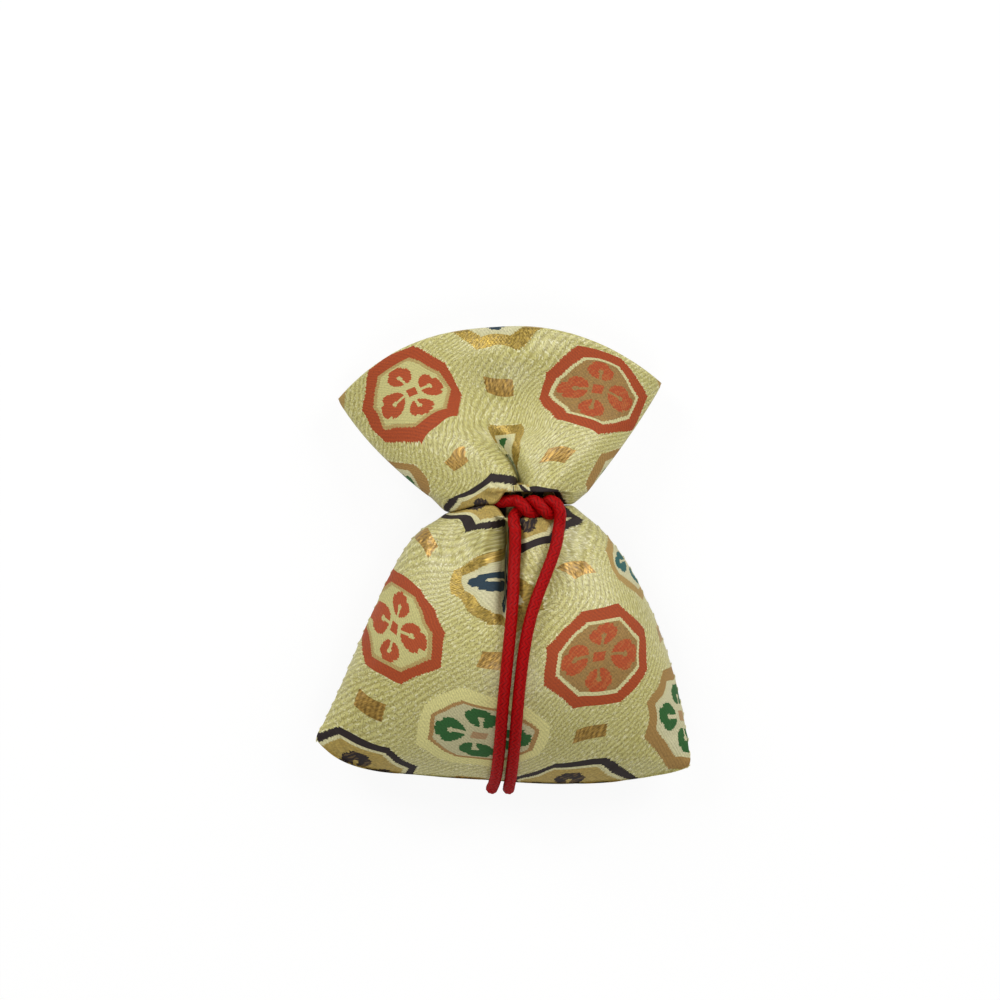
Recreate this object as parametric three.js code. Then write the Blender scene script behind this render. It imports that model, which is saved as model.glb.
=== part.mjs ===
// A small kinchaku: a brocade drawstring pouch, filled, gathered at the neck and tied with a round cord.
// It lies on its back. +X is to the right and +Y towards the mouth for someone looking down on it, +Z is up.
// Millimetres. The origin is on the surface it lies on, under the middle of the pouch.

import * as THREE from 'three';

// Outline of the pouch, seen from above
const POUCH_LENGTH = 72.8;          // bottom fold to the crown of the mouth
const CORNER_RIGHT_X = 29.8;        // bottom corner of the bag, right
const CORNER_RIGHT_Y = -33.2;
const CORNER_LEFT_X = -29.8;        // bottom corner of the bag, left
const CORNER_LEFT_Y = -28.8;
const EAR_RIGHT_X = 25.4;           // corner of the frill, right
const EAR_RIGHT_Y = 27.4;
const EAR_LEFT_X = -26.4;           // corner of the frill, left
const EAR_LEFT_Y = 24.9;
const BOTTOM_BOW_POWER_LEFT = 6.5;  // how square the bottom fold stays towards its corners
const BOTTOM_BOW_POWER_RIGHT = 2.4;
const CROWN_BOW_POWER = 2.1;

// Thickness of the filled bag
const BELLY_RISE = 13;              // front panel above the side seams
const BELLY_PEAK = 0.44;            // where the front is highest, from bottom fold (0) to neck (1)
const BACK_SAG = 8.5;               // back panel below the side seams, before the table flattens it
const CORNER_LIFT = 5.5;            // height of the side seams at the bottom corners
const FOLD_POWER = 0.86;             // how round the bottom fold is
const LENS_POWER = 1.08;            // how sharply the section closes at the side seams
const VALLEY_X = -0.6;              // crease running down from the neck in the front panel
const VALLEY_WIDTH = 1.9;
const VALLEY_DEPTH = 3.4;
const VALLEY_REACH = 0.56;          // how far down it runs, from bottom fold (0) to neck (1)

// Neck, where the cord pulls the cloth together
const NECK_X = 1;
const NECK_Y = 7.9;
const NECK_Z = 9.2;
const LIP_HALF_WIDTH = 10.2;        // cloth bulging over the cord, above and below it
const LIP_HALF_DEPTH = 6.6;
const GROOVE_HALF_WIDTH = 6.3;      // cloth inside the loop of cord
const GROOVE_HALF_DEPTH = 3.3;
const LIP_GAP = 0.35;               // half the gap that the lips leave over the buried cord
const LIP_OPENING = 3.0;            // how much further they part in front, where the knot sits
const SHOULDER = 2.0;               // from the cord to where each lip starts
const PLEATS = 9;                   // gathers round the lips
const PLEAT_DEPTH = 0.09;           // share of the lip's radius

// Frill above the neck
const EAR_LIFT = 4.6;               // height of the side seams at the frill's corners
const FRILL_HALF_DEPTH = 5.9;       // half the thickness at the mouth
const FRILL_FOLD = 2.3;             // thickness of one folded leaf at the mouth
const FRILL_POCKET_DEPTH = 19;      // from the crown down to where the leaves meet
const FRILL_POCKET_SIDE = 4.2;      // leaf width left at each side seam
const FRILL_LEAST_GAP = 0.3;        // half the gap between the leaves where they nearly meet
const FRILL_VALLEY_DEPTH = 2.2;
const FRILL_WAVE = 0.7;             // slow waves across the leaves

// Cord
const CORD_DIAMETER = 1.9;
const CORD_CLEARANCE = 0.3;
const CORD_SIDES = 8;
const CORD_STEP = 2.2;              // length of one step, in cord diameters
const KNOT_X = 4.7;
const KNOT_HALF_LENGTH = 2.7;       // the two strands twist once round each other over this
const KNOT_GAP = 0.14;              // between the twisted strands
const KNOT_LIFT = 1.9;              // middle of the knot above the loop of cord
const KNOT_DROP = -0.4;             // middle of the knot above the line of the neck
const KNOT_STEPS = 8;
const LOOP_START = 18;              // where the loop round the neck leaves and meets the knot, in degrees
const LOOP_END = -240;
const LOOP_STEP = 20;

// Mesh density
const RING_POINTS = 56;
const BODY_RINGS = 18;
const FRILL_RINGS = 9;
const POCKET_RINGS = 6;

const cordRadius = CORD_DIAMETER / 2;
const loopHalfWidth = GROOVE_HALF_WIDTH + cordRadius + CORD_CLEARANCE;
const loopHalfDepth = GROOVE_HALF_DEPTH + cordRadius + CORD_CLEARANCE;
const knotZ = NECK_Z + loopHalfDepth * Math.sqrt(1 - ((KNOT_X - NECK_X) / loopHalfWidth) ** 2) + KNOT_LIFT;

const mix = (a, b, t) => a + (b - a) * t;
const clamp01 = (t) => Math.min(Math.max(t, 0), 1);
const smooth = (t) => clamp01(t) ** 2 * (3 - 2 * clamp01(t));
const bump = (x, centre, width) => Math.exp(-(((x - centre) / width) ** 2));

// Cubic curve through two ends and two handles
function bezier(p0, p1, p2, p3, t) {
  const u = 1 - t;
  const part = (i) => u ** 3 * p0[i] + 3 * u * u * t * p1[i] + 3 * u * t * t * p2[i] + t ** 3 * p3[i];
  return [part(0), part(1)];
}

// Side seams. A handle is placed by its share of the way between the seam's two ends, across and along.
function seam(start, end, handles, t) {
  const at = ([across, along]) => [mix(start[0], end[0], across), mix(start[1], end[1], along)];
  return bezier(start, at(handles[0]), at(handles[1]), end, t);
}

const bodyTopY = NECK_Y - SHOULDER;
const frillBaseY = NECK_Y + SHOULDER;
const lipLeftX = NECK_X - LIP_HALF_WIDTH;
const lipRightX = NECK_X + LIP_HALF_WIDTH;

// Share of the bow at a place between the left end (-1) and the right end (1) of a row
const bowShare = (side, powers) => 1 - Math.abs(side) ** (side < 0 ? powers[0] : powers[1]);

// The bow with which a row just reaches half the pouch's length from the middle. The ends are distances from it.
function bowToReach(leftEnd, rightEnd, powers) {
  const sides = Array.from({ length: 99 }, (_, i) => i / 50 - 0.98);
  const room = (side) => POUCH_LENGTH / 2 - mix(leftEnd, rightEnd, (side + 1) / 2);
  return Math.min(...sides.map((side) => room(side) / bowShare(side, powers)));
}
const bottomPowers = [BOTTOM_BOW_POWER_LEFT, BOTTOM_BOW_POWER_RIGHT];
const crownPowers = [CROWN_BOW_POWER, CROWN_BOW_POWER];
const bottomBow = bowToReach(-CORNER_LEFT_Y, -CORNER_RIGHT_Y, bottomPowers);
const crownBow = bowToReach(EAR_LEFT_Y, EAR_RIGHT_Y, crownPowers);

// How open the lips stand, by place round the neck: only in front, round the knot
function lipOpening(side, isFront) {
  return isFront ? bump(side, (KNOT_X - NECK_X) / LIP_HALF_WIDTH, 0.62) : 0;
}

// Gathers round the neck, as a factor on its radius
function pleat(angle, share) {
  return 1 + share * PLEAT_DEPTH * Math.cos(PLEATS * angle + 0.9);
}

// One point of the filled bag. side runs from -1 at the left seam to 1 at the right seam, t from fold to neck.
function bodyPoint(side, isFront, angle, t) {
  const left = seam([CORNER_LEFT_X, CORNER_LEFT_Y], [lipLeftX, bodyTopY], [[0.25, 0.32], [0.52, 0.85]], t);
  const right = seam([CORNER_RIGHT_X, CORNER_RIGHT_Y], [lipRightX, bodyTopY], [[0.05, 0.3], [0.42, 0.82]], t);
  const across = (side + 1) / 2;
  const powers = bottomPowers.map((power) => mix(power, 2, smooth(t * 2)));
  const bow = bottomBow * (1 - t ** 2.5) * bowShare(side, powers);
  const x = mix(left[0], right[0], across);
  const y = mix(left[1], right[1], across) - bow;

  const seamZ = mix(CORNER_LIFT, NECK_Z, smooth(t));
  const section = Math.sqrt(Math.max(1 - side * side, 0)) ** mix(LENS_POWER, 1, smooth(t * 2 - 1));
  const swell = t < BELLY_PEAK ? Math.sin((Math.PI / 2) * (t / BELLY_PEAK)) ** FOLD_POWER : 1;
  const fade = smooth((t - BELLY_PEAK) / (1 - BELLY_PEAK));
  const depth = swell * mix(isFront ? BELLY_RISE : BACK_SAG, LIP_HALF_DEPTH, fade);
  const gather = pleat(angle, smooth((t - 0.6) / 0.4));
  let z = seamZ + (isFront ? 1 : -1) * depth * section * gather;
  if (isFront) {
    const reach = smooth((t - 1 + VALLEY_REACH) / VALLEY_REACH);
    z -= VALLEY_DEPTH * reach * bump(x, VALLEY_X, VALLEY_WIDTH);
  }
  return [x, y, Math.max(z, 0)];
}

// One point near the cord. depthShare is 1 on the lips and 0 on the floor of the groove.
function neckPoint(side, isFront, angle, depthShare, rise) {
  const gather = pleat(angle, depthShare);
  const halfWidth = mix(GROOVE_HALF_WIDTH, LIP_HALF_WIDTH, depthShare);
  const halfDepth = mix(GROOVE_HALF_DEPTH, LIP_HALF_DEPTH, depthShare) * gather;
  const x = NECK_X + halfWidth * side;
  let z = NECK_Z + (isFront ? 1 : -1) * halfDepth * Math.sqrt(Math.max(1 - side * side, 0));
  if (isFront) z -= depthShare * Math.min(VALLEY_DEPTH, FRILL_VALLEY_DEPTH) * bump(x, VALLEY_X, VALLEY_WIDTH);
  return [x, NECK_Y + rise, z];
}

// One point of the frill's outside, t from the neck (0) to the crown (1)
function frillPoint(side, isFront, angle, t) {
  const left = seam([lipLeftX, frillBaseY], [EAR_LEFT_X, EAR_LEFT_Y], [[0.42, 0.16], [0.82, 0.5]], t);
  const right = seam([lipRightX, frillBaseY], [EAR_RIGHT_X, EAR_RIGHT_Y], [[0.4, 0.2], [0.85, 0.55]], t);
  const across = (side + 1) / 2;
  const bow = crownBow * t * bowShare(side, crownPowers);
  const x = mix(left[0], right[0], across);
  const y = mix(left[1], right[1], across) + bow;

  const seamZ = mix(NECK_Z, EAR_LIFT, smooth(t));
  const section = Math.sqrt(Math.max(1 - side * side, 0)) ** mix(1, LENS_POWER, t);
  const depth = mix(LIP_HALF_DEPTH, FRILL_HALF_DEPTH, smooth(t)) * pleat(angle, 1 - smooth(t / 0.6));
  let z = seamZ + (isFront ? 1 : -1) * depth * section;
  const wave = FRILL_WAVE * smooth(t) * section * Math.sin(7 * side + (isFront ? 0.6 : 2.4));
  z += wave;
  if (isFront) z -= FRILL_VALLEY_DEPTH * (1 - smooth(t / 0.7)) * bump(x, VALLEY_X, VALLEY_WIDTH);
  return [x, y, Math.max(z, 0)];
}

// One point of the pocket between the frill's leaves, t from the crown (1) down towards the neck (0)
function pocketPoint(side, isFront, angle, t) {
  const outer = frillPoint(side, isFront, angle, t);
  const halfSpan = (EAR_RIGHT_X - EAR_LEFT_X) / 2;
  const shrink = 1 - FRILL_POCKET_SIDE / halfSpan;
  const middleX = (EAR_RIGHT_X + EAR_LEFT_X) / 2;
  const x = mix(middleX, outer[0], shrink);
  const opposite = frillPoint(side, !isFront, -angle, t);
  const middleZ = (outer[2] + opposite[2]) / 2;
  const open = Math.max(Math.abs(outer[2] - middleZ) - FRILL_FOLD, FRILL_LEAST_GAP);
  const gap = open * Math.max(1 - side * side, 0) ** 0.25;
  return [x, outer[1], middleZ + (isFront ? 1 : -1) * gap];
}

// All rings of the pouch, from the bottom fold up over the frill and down into its pocket
function pouchRings() {
  const rings = [];
  const addRing = (point) => {
    const ring = [];
    for (let i = 0; i < RING_POINTS; i += 1) {
      const angle = (2 * Math.PI * i) / RING_POINTS;
      ring.push(point(-Math.cos(angle), angle < Math.PI, angle));
    }
    rings.push(ring);
  };
  for (let k = 0; k < BODY_RINGS; k += 1) {
    const t = (k / (BODY_RINGS - 1)) ** 1.15;
    addRing((side, isFront, angle) => bodyPoint(side, isFront, angle, t));
  }

  const wall = cordRadius + CORD_CLEARANCE;
  const toShare = (offset) => offset / (LIP_HALF_WIDTH - GROOVE_HALF_WIDTH);
  const halfGroove = [
    { share: 0.97, closed: LIP_GAP + 0.8, parts: 0.7 },
    { share: 0.86, closed: LIP_GAP, parts: 1 },
    { share: toShare(wall * 1.55), closed: wall * 0.8, parts: 0.9 },
    { share: toShare(wall), closed: wall, parts: 0.5 },
    { share: 0, closed: wall * 0.75, parts: 0 },
  ];
  const addGroove = (step, sign) => addRing((side, isFront, angle) => {
    const rise = step.closed + LIP_OPENING * step.parts * lipOpening(side, isFront);
    return neckPoint(side, isFront, angle, step.share, sign * rise);
  });
  halfGroove.forEach((step) => addGroove(step, -1));
  [...halfGroove].reverse().forEach((step) => addGroove(step, 1));

  for (let k = 0; k < FRILL_RINGS; k += 1) {
    const t = k / (FRILL_RINGS - 1);
    const inset = k === FRILL_RINGS - 1 ? 0.975 : 1;
    addRing((side, isFront, angle) => frillPoint(side, isFront, angle, t * inset));
  }
  const fold = (weight, t) => addRing((side, isFront, angle) => {
    const outer = frillPoint(side, isFront, angle, t);
    const inner = pocketPoint(side, isFront, angle, t);
    return outer.map((value, i) => mix(value, inner[i], weight));
  });
  fold(0.2, 0.993);
  fold(0.5, 1);
  fold(0.8, 0.993);
  const bottomShare = 1 - FRILL_POCKET_DEPTH / (POUCH_LENGTH / 2 - frillBaseY);
  for (let k = 0; k < POCKET_RINGS; k += 1) {
    const t = mix(0.975, bottomShare, k / (POCKET_RINGS - 1));
    addRing((side, isFront, angle) => pocketPoint(side, isFront, angle, t));
  }
  return rings;
}

// Closed surface over the rings. The first and last ring are folds, so their front and back points are one.
function ringSurface(rings) {
  const points = [];
  const index = rings.map((ring, r) => ring.map((point, i) => {
    const isFold = r === 0 || r === rings.length - 1;
    const twin = (RING_POINTS - i) % RING_POINTS;
    if (isFold && i > RING_POINTS / 2) return -twin;
    const back = isFold ? ring[twin] : point;
    points.push(...point.map((value, axis) => (value + back[axis]) / 2));
    return points.length / 3 - 1;
  }));
  const at = (r, i) => {
    const wrapped = i % RING_POINTS;
    return index[r][wrapped] < 0 ? index[r][-index[r][wrapped]] : index[r][wrapped];
  };
  const triangles = [];
  const addTriangle = (a, b, c) => {
    if (a !== b && b !== c && a !== c) triangles.push(a, b, c);
  };
  for (let r = 0; r < rings.length - 1; r += 1) {
    for (let i = 0; i < RING_POINTS; i += 1) {
      addTriangle(at(r, i), at(r, i + 1), at(r + 1, i));
      addTriangle(at(r, i + 1), at(r + 1, i + 1), at(r + 1, i));
    }
  }
  const geometry = new THREE.BufferGeometry();
  geometry.setAttribute('position', new THREE.Float32BufferAttribute(points, 3));
  geometry.setIndex(triangles);
  geometry.computeVertexNormals();
  return geometry;
}

// A round cord along a line of points
function cordAlong(points) {
  const curve = new THREE.CatmullRomCurve3(points.map((p) => new THREE.Vector3(...p)), false, 'centripetal');
  const section = new THREE.Shape();
  for (let i = 0; i < CORD_SIDES; i += 1) {
    const angle = (2 * Math.PI * i) / CORD_SIDES;
    const corner = [cordRadius * Math.cos(angle), cordRadius * Math.sin(angle)];
    if (i === 0) section.moveTo(...corner);
    else section.lineTo(...corner);
  }
  section.closePath();
  const steps = Math.ceil(curve.getLength() / (CORD_STEP * CORD_DIAMETER));
  return new THREE.ExtrudeGeometry(section, { steps: Math.max(steps, points.length), extrudePath: curve });
}

// The cord that the neck holds: from the left tail through the knot, round the neck and back to the right tail
function heldCordPoints() {
  const strand = cordRadius + KNOT_GAP / 2;
  const loopAt = (degrees) => {
    const angle = THREE.MathUtils.degToRad(degrees);
    return [NECK_X + loopHalfWidth * Math.cos(angle), NECK_Y, NECK_Z + loopHalfDepth * Math.sin(angle)];
  };
  const knot = (along, up, out) => [KNOT_X + along, NECK_Y + KNOT_DROP + up, knotZ + out];
  const twist = (start, reverse) => {
    const points = [];
    for (let i = 0; i <= KNOT_STEPS; i += 1) {
      const share = i / KNOT_STEPS;
      const angle = THREE.MathUtils.degToRad(start + 360 * share);
      points.push(knot(mix(-1, 1, share) * KNOT_HALF_LENGTH, strand * Math.cos(angle), strand * Math.sin(angle)));
    }
    return reverse ? points.reverse() : points;
  };
  const loop = [];
  for (let degrees = LOOP_START; degrees >= LOOP_END; degrees -= LOOP_STEP) loop.push(loopAt(degrees));
  return [
    knot(-KNOT_HALF_LENGTH - 0.15, -3.1, 1.5),
    knot(-KNOT_HALF_LENGTH - 0.35, -1.9, 0.8),
    ...twist(180, false),
    knot(KNOT_HALF_LENGTH + 0.75, -0.75, -1.1),
    ...loop,
    knot(-KNOT_HALF_LENGTH - 1.1, 1.0, -0.6),
    ...twist(0, false),
    knot(KNOT_HALF_LENGTH + 0.95, 0.5, 0.55),
    knot(KNOT_HALF_LENGTH + 1.5, -0.75, 0.95),
    knot(KNOT_HALF_LENGTH + 1.45, -2.2, 0.9),
    knot(KNOT_HALF_LENGTH + 1.3, -3.1, 0.95),
  ];
}

// The free tails, from just below the knot to their ends. They lie on the front panel.
const LEFT_TAIL = [
  [1.9, 4.05, 16.8], [1.9, 2.6, 17.1], [1.85, 0.6, 17.4], [1.7, -2.4, 18.3],
  [1.6, -5.6, 19.5], [1.35, -9.2, 20.65], [1, -13, 21.25], [0.6, -17, 21.35],
  [0.2, -21, 20.55], [-0.1, -24.4, 19.15], [-0.35, -27.6, 17.05], [-0.6, -30.6, 14.55],
  [-0.85, -33, 12.05], [-1.1, -34.8, 9.8], [-1.5, -36.2, 7.65], [-1.9, -37.1, 6.35],
];
const RIGHT_TAIL = [
  [8.65, 4.05, 16.15], [8.45, 2.4, 17], [7.75, 0, 17.95], [6.7, -2.8, 18.85],
  [5.6, -5.6, 19.65], [4.4, -9.2, 20.65], [3.55, -13, 21.35], [2.95, -17, 21.35],
  [2.5, -21, 20.55], [2.2, -24.4, 19.25], [1.95, -27.6, 17.15], [1.7, -30.6, 14.65],
  [1.45, -33, 12.15], [1.25, -34.8, 9.95], [1, -36.2, 7.95], [0.85, -37.1, 6.4],
];

const group = new THREE.Group();

function addPiece(name, geometry, material) {
  const mesh = new THREE.Mesh(geometry, material);
  mesh.name = name;
  group.add(mesh);
}

const brocade = new THREE.MeshStandardMaterial({ color: 0xc4c090, roughness: 0.55, metalness: 0.1 });
const redCord = new THREE.MeshStandardMaterial({ color: 0xa50f14, roughness: 0.6, metalness: 0 });

addPiece('brocade_pouch', ringSurface(pouchRings()), brocade);
addPiece('neck_cord', cordAlong(heldCordPoints()), redCord);
addPiece('left_tail', cordAlong(LEFT_TAIL), redCord);
addPiece('right_tail', cordAlong(RIGHT_TAIL), redCord);

export default group;
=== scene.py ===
# A small filled brocade pouch, tied at the neck with a round braided cord. It lies on its back.
# Shapes are worked out in millimetres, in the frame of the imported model, and written in metres.

import math

import bmesh
import bpy
import numpy as np
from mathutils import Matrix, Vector


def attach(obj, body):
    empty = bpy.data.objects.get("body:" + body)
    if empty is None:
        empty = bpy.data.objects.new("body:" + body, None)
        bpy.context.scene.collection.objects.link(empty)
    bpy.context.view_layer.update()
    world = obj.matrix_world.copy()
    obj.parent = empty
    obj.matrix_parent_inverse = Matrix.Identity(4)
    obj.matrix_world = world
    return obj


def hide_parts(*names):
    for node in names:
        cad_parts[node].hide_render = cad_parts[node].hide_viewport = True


MM = 0.001

# Outline of the pouch, seen from above
POUCH_LENGTH = 72.8
CORNER_RIGHT = (29.8, -33.8)
CORNER_LEFT = (-30.1, -29.6)
EAR_RIGHT = (25.4, 27.4)
EAR_LEFT = (-26.4, 24.9)
BOTTOM_BOW_POWERS = (6.5, 2.4)
CROWN_BOW_POWERS = (2.8, 2.35)
# Share of the bow that would just reach the pouch's length
BOTTOM_BOW_SHARE = 0.97
CROWN_BOW_SHARE = 0.96
# Handles of the side seams, each by its share of the way across and along
BODY_SEAM_LEFT = ((0.34, 0.32), (0.63, 0.85))
BODY_SEAM_RIGHT = ((0.05, 0.3), (0.42, 0.82))
FRILL_SEAM_LEFT = ((0.31, 0.16), (0.7, 0.5))
FRILL_SEAM_RIGHT = ((0.22, 0.2), (0.64, 0.55))

# Rounding of the cloth's corners: in mm at the bottom and at the ears, then the share of the panel's length
# and of its half width in which it lies
CORNER_RADIUS = 1.1
EAR_RADIUS = 0.3
CORNER_SHARE = 0.06
CORNER_REACH = 0.12

# Thickness of the filled bag
BELLY_RISE = 13.0
BELLY_PEAK = 0.44
BACK_SAG = 8.5
CORNER_LIFT = 5.5
FOLD_POWER = 0.86
LENS_POWER = 1.08

# Neck and frill
NECK_X = 1.0
NECK_Y = 7.9
NECK_Z = 9.2
SHOULDER_HALF_WIDTH = 12.3
LIP_HALF_WIDTH = 10.2
LIP_HALF_DEPTH = 6.6
GROOVE_HALF_WIDTH = 6.3
GROOVE_HALF_DEPTH = 3.3
SHOULDER = 2.0
EAR_LIFT = 4.6
FRILL_HALF_DEPTH = 5.9
FRILL_FOLD = 2.3
FRILL_POCKET_DEPTH = 19.0
FRILL_POCKET_SIDE = 4.2
# Share of the frill's length at which the cloth starts to turn over its edge into the mouth
ROLL_START = 0.98

# Cord
CORD_DIAMETER = 1.9
CORD_CLEARANCE = 0.3
CORD_RADIUS = CORD_DIAMETER / 2
KNOT_X = 4.7
KNOT_HALF_LENGTH = 2.7
KNOT_GAP = 0.14
KNOT_LIFT = 1.9
KNOT_DROP = -0.4
LEFT_TAIL = [
    (1.9, 4.05, 16.8), (1.9, 2.6, 17.1), (1.85, 0.6, 17.4), (1.7, -2.4, 18.3),
    (1.6, -5.6, 19.5), (1.35, -9.2, 20.65), (1, -13, 21.25), (0.6, -17, 21.35),
    (0.2, -21, 20.55), (-0.1, -24.4, 19.15), (-0.35, -27.6, 17.05), (-0.6, -30.6, 14.55),
    (-0.85, -33, 12.05), (-1.1, -34.8, 9.8), (-1.5, -36.2, 7.65), (-1.9, -37.1, 6.35),
]
RIGHT_TAIL = [
    (8.65, 4.05, 16.15), (8.45, 2.4, 17), (7.75, 0, 17.95), (6.7, -2.8, 18.85),
    (5.6, -5.6, 19.65), (4.4, -9.2, 20.65), (3.55, -13, 21.35), (2.95, -17, 21.35),
    (2.5, -21, 20.55), (2.2, -24.4, 19.25), (1.95, -27.6, 17.15), (1.7, -30.6, 14.65),
    (1.45, -33, 12.15), (1.25, -34.8, 9.95), (1, -36.2, 7.95), (0.85, -37.1, 6.4),
]

# The cloth at the cord, from its shoulder over the lip to the floor of the groove: share of the way out from
# the floor, distance from the cord's plane, and how far it parts at the knot
GROOVE_WALL = CORD_RADIUS + CORD_CLEARANCE
LIP_REACH = LIP_HALF_WIDTH - GROOVE_HALF_WIDTH
GROOVE_STATIONS = [
    (1.54, SHOULDER, 0), (1.33, 1.35, 0.35), (1.14, 0.7, 0.75),
    (0.98, 0.22, 1), (0.85, 0.04, 1), (0.7, 0.03, 1),
    (GROOVE_WALL * 1.45 / LIP_REACH, GROOVE_WALL * 0.7, 0.9),
    (GROOVE_WALL / LIP_REACH, GROOVE_WALL, 0.5), (0, GROOVE_WALL, 0),
]
LIP_PARTING = 3.0
LIP_OPENING_X = 4.6
LIP_OPENING_HALF_WIDTH = 5.0
NOTCH_DROP = 1.2

# The deep folds below and above the knot: their lines, where they run out, how deep and wide they are,
# and the width of cloth that they take in
LOWER_FOLD_X = 0.4
LOWER_FOLD_LEAN = 0.02
LOWER_FOLD_START_Y = -12.5
LOWER_FOLD_DEPTHS = (3.8, 5.6)
LOWER_FOLD_WIDTH = 1.6
UPPER_FOLD_X = 2.1
UPPER_FOLD_LEAN = 4.7
UPPER_FOLD_END_Y = 21.5
UPPER_FOLD_DEPTH = 3.2
UPPER_FOLD_WIDTHS = (1.3, 2.1)
UPPER_TUCK_END_Y = 20.2
TUCKED_WIDTH = 19

# Ridges beside the folds: height, way off the fold to the right, and width
LOWER_RIDGES = [(0.9, -3.0, 1.8), (0.63, 3.0, 1.7)]
UPPER_RIDGES = [(0.7, -2.8, 1.7), (0.56, 2.8, 1.7)]
# Gathers of the neck: share of the height, how many there would be in a whole turn, and phase. Then their
# height in front and behind.
BODY_GATHERS = [(1.0, 11, 1.0), (0.7, 17, 2.2), (0.4, 29, 0)]
BODY_GATHER_HEIGHTS = (0.28, 0.6)
FRILL_GATHERS = [(1.0, 10, 0.4), (0.6, 16, 1.7)]
FRILL_GATHER_HEIGHTS = (0.38, 0.55)
DENT_HEIGHT = 0.22

# Puckers along the side seams: height and length of one on the body and on the frill, and the share of the
# half width that they reach in
BODY_PUCKER = (0.22, 4.6)
FRILL_PUCKER = (0.15, 4.2)
PUCKER_REACH = 0.05

# Mesh density of the cloth
COLUMNS = 320
BODY_ROWS = 108
GROOVE_ROWS = 9
FRILL_ROWS = 56
ROLL_ROWS = 8
POCKET_ROWS = 28

# Stitches: how far apart they are, and how many rows up from the end of the pocket the hem is sewn
HEM_ROW = 24
SEAM_SPACING = 2.1
HEM_SPACING = 3.0
STITCH_LENGTH = 0.9
STITCH_THREAD = 0.2

# Where points of the flat cloth lie on the front: x and y from above, then how far across and up the cloth.
# Most are the centre, an edge or a corner of a medallion, whose rows are counted up from the bottom fold.
BODY_MARKS = [
    # Row 2: the medallion that the fold below the knot takes in, whose right edge the tails hide,
    # and the dashes beside it
    (5.2, -9.5, 8.6, 21.0), (-8.0, -4.3, -9.7, 26), (-7.2, -2.0, -9.7, 30.1),
    (-7.4, -6.5, -9.7, 21.9), (-3.0, 0.5, -3.9, 34.3), (-2.6, -10.5, -3.9, 17.7),
    (-2.7, -3.9, -4.4, 26), (-0.1, -7.5, 0, 22.3), (-0.1, -10.7, 0, 17.8),
    (6.3, -5.5, 9.7, 26), (-11.9, 3.0, -17.5, 26), (12.4, -2.2, 17.5, 26),
    (18.3, -1.2, 30.6, 26), (17.1, 0.1, 26.5, 28.5), (21.6, -6.5, 31, 18),
    # Row 1, left medallion: its heart and petals, and its corners that show
    (-16.85, -11.0, -17.5, 13), (-16.2, -7.7, -17.5, 16.85), (-18.7, -9.9, -21.95, 13),
    (-14.3, -12.9, -13.05, 13), (-17.8, -15.0, -17.5, 9.15),
    (-17.3, -2.1, -21.4, 21.3), (-12.6, -5.8, -13.6, 21.3), (-9.0, -11.3, -7.8, 17.1),
    (-9.9, -18.4, -7.8, 8.9), (-15.4, -19.8, -13.6, 4.7), (-21.9, -16.5, -21.4, 4.7),
    (-1.7, -16.6, 0, 13),
    # Row 1, right medallion
    (15.0, -15.8, 17.5, 13), (15.6, -12.1, 17.5, 16.85), (18.9, -15.4, 21.95, 13),
    (11.1, -16.4, 13.05, 13), (14.8, -19.4, 17.5, 9.15),
    (11.8, -9.0, 13.6, 21.3), (18.4, -7.7, 21.4, 21.3), (21.9, -10.7, 27.2, 17.1), (22.8, -18.6, 27.2, 8.9),
    (18.7, -22.7, 21.4, 4.7), (10.7, -23.8, 13.6, 4.7), (6.1, -20.9, 7.8, 8.9), (6.8, -13.5, 7.8, 17.1),
    # Row 0
    (-3.8, -28.1, 0, 0), (-8.1, -27.3, -4.4, 0), (-3.1, -25.5, 0, 3.8), (-4.5, -30.3, 0, -3.8),
    (-13.2, -27.2, -9.7, 0), (6.8, -29.2, 9.7, 0), (-4.0, -21.6, 0, 8.2), (-3.1, -32.9, 0, -8.2),
    (-21.2, -23.2, -17.5, 0), (13.1, -27.9, 17.5, 0), (22.8, -25.4, 25.3, 0), (26.0, -25.3, 30.6, 0),
    (27.4, -22.0, 35, 3.8),
    # Row -1, at the bottom fold
    (-25.9, -27.1, -21.2, -4.8), (-17.8, -30.3, -13.8, -4.8), (-13.8, -33.7, -7.8, -9.9),
    (1.5, -35.2, 7.8, -9.9), (8.0, -32.7, 13.8, -4.8), (16.5, -32.1, 21.2, -4.8),
    # Row 3, at the neck
    (-4.6, 4.6, -14.5, 30.7), (-3.6, 5.7, -14.3, 32.7), (-0.2, 4.0, -9.0, 34), (-5.5, 6.4, -17.5, 31.4),
    (12.6, 5.4, 27.2, 35.8), (8.2, 2.2, 21.2, 30.8), (3.0, 0.8, 14.5, 30.8), (0.9, 0.3, 11.5, 31.5),
]
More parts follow.
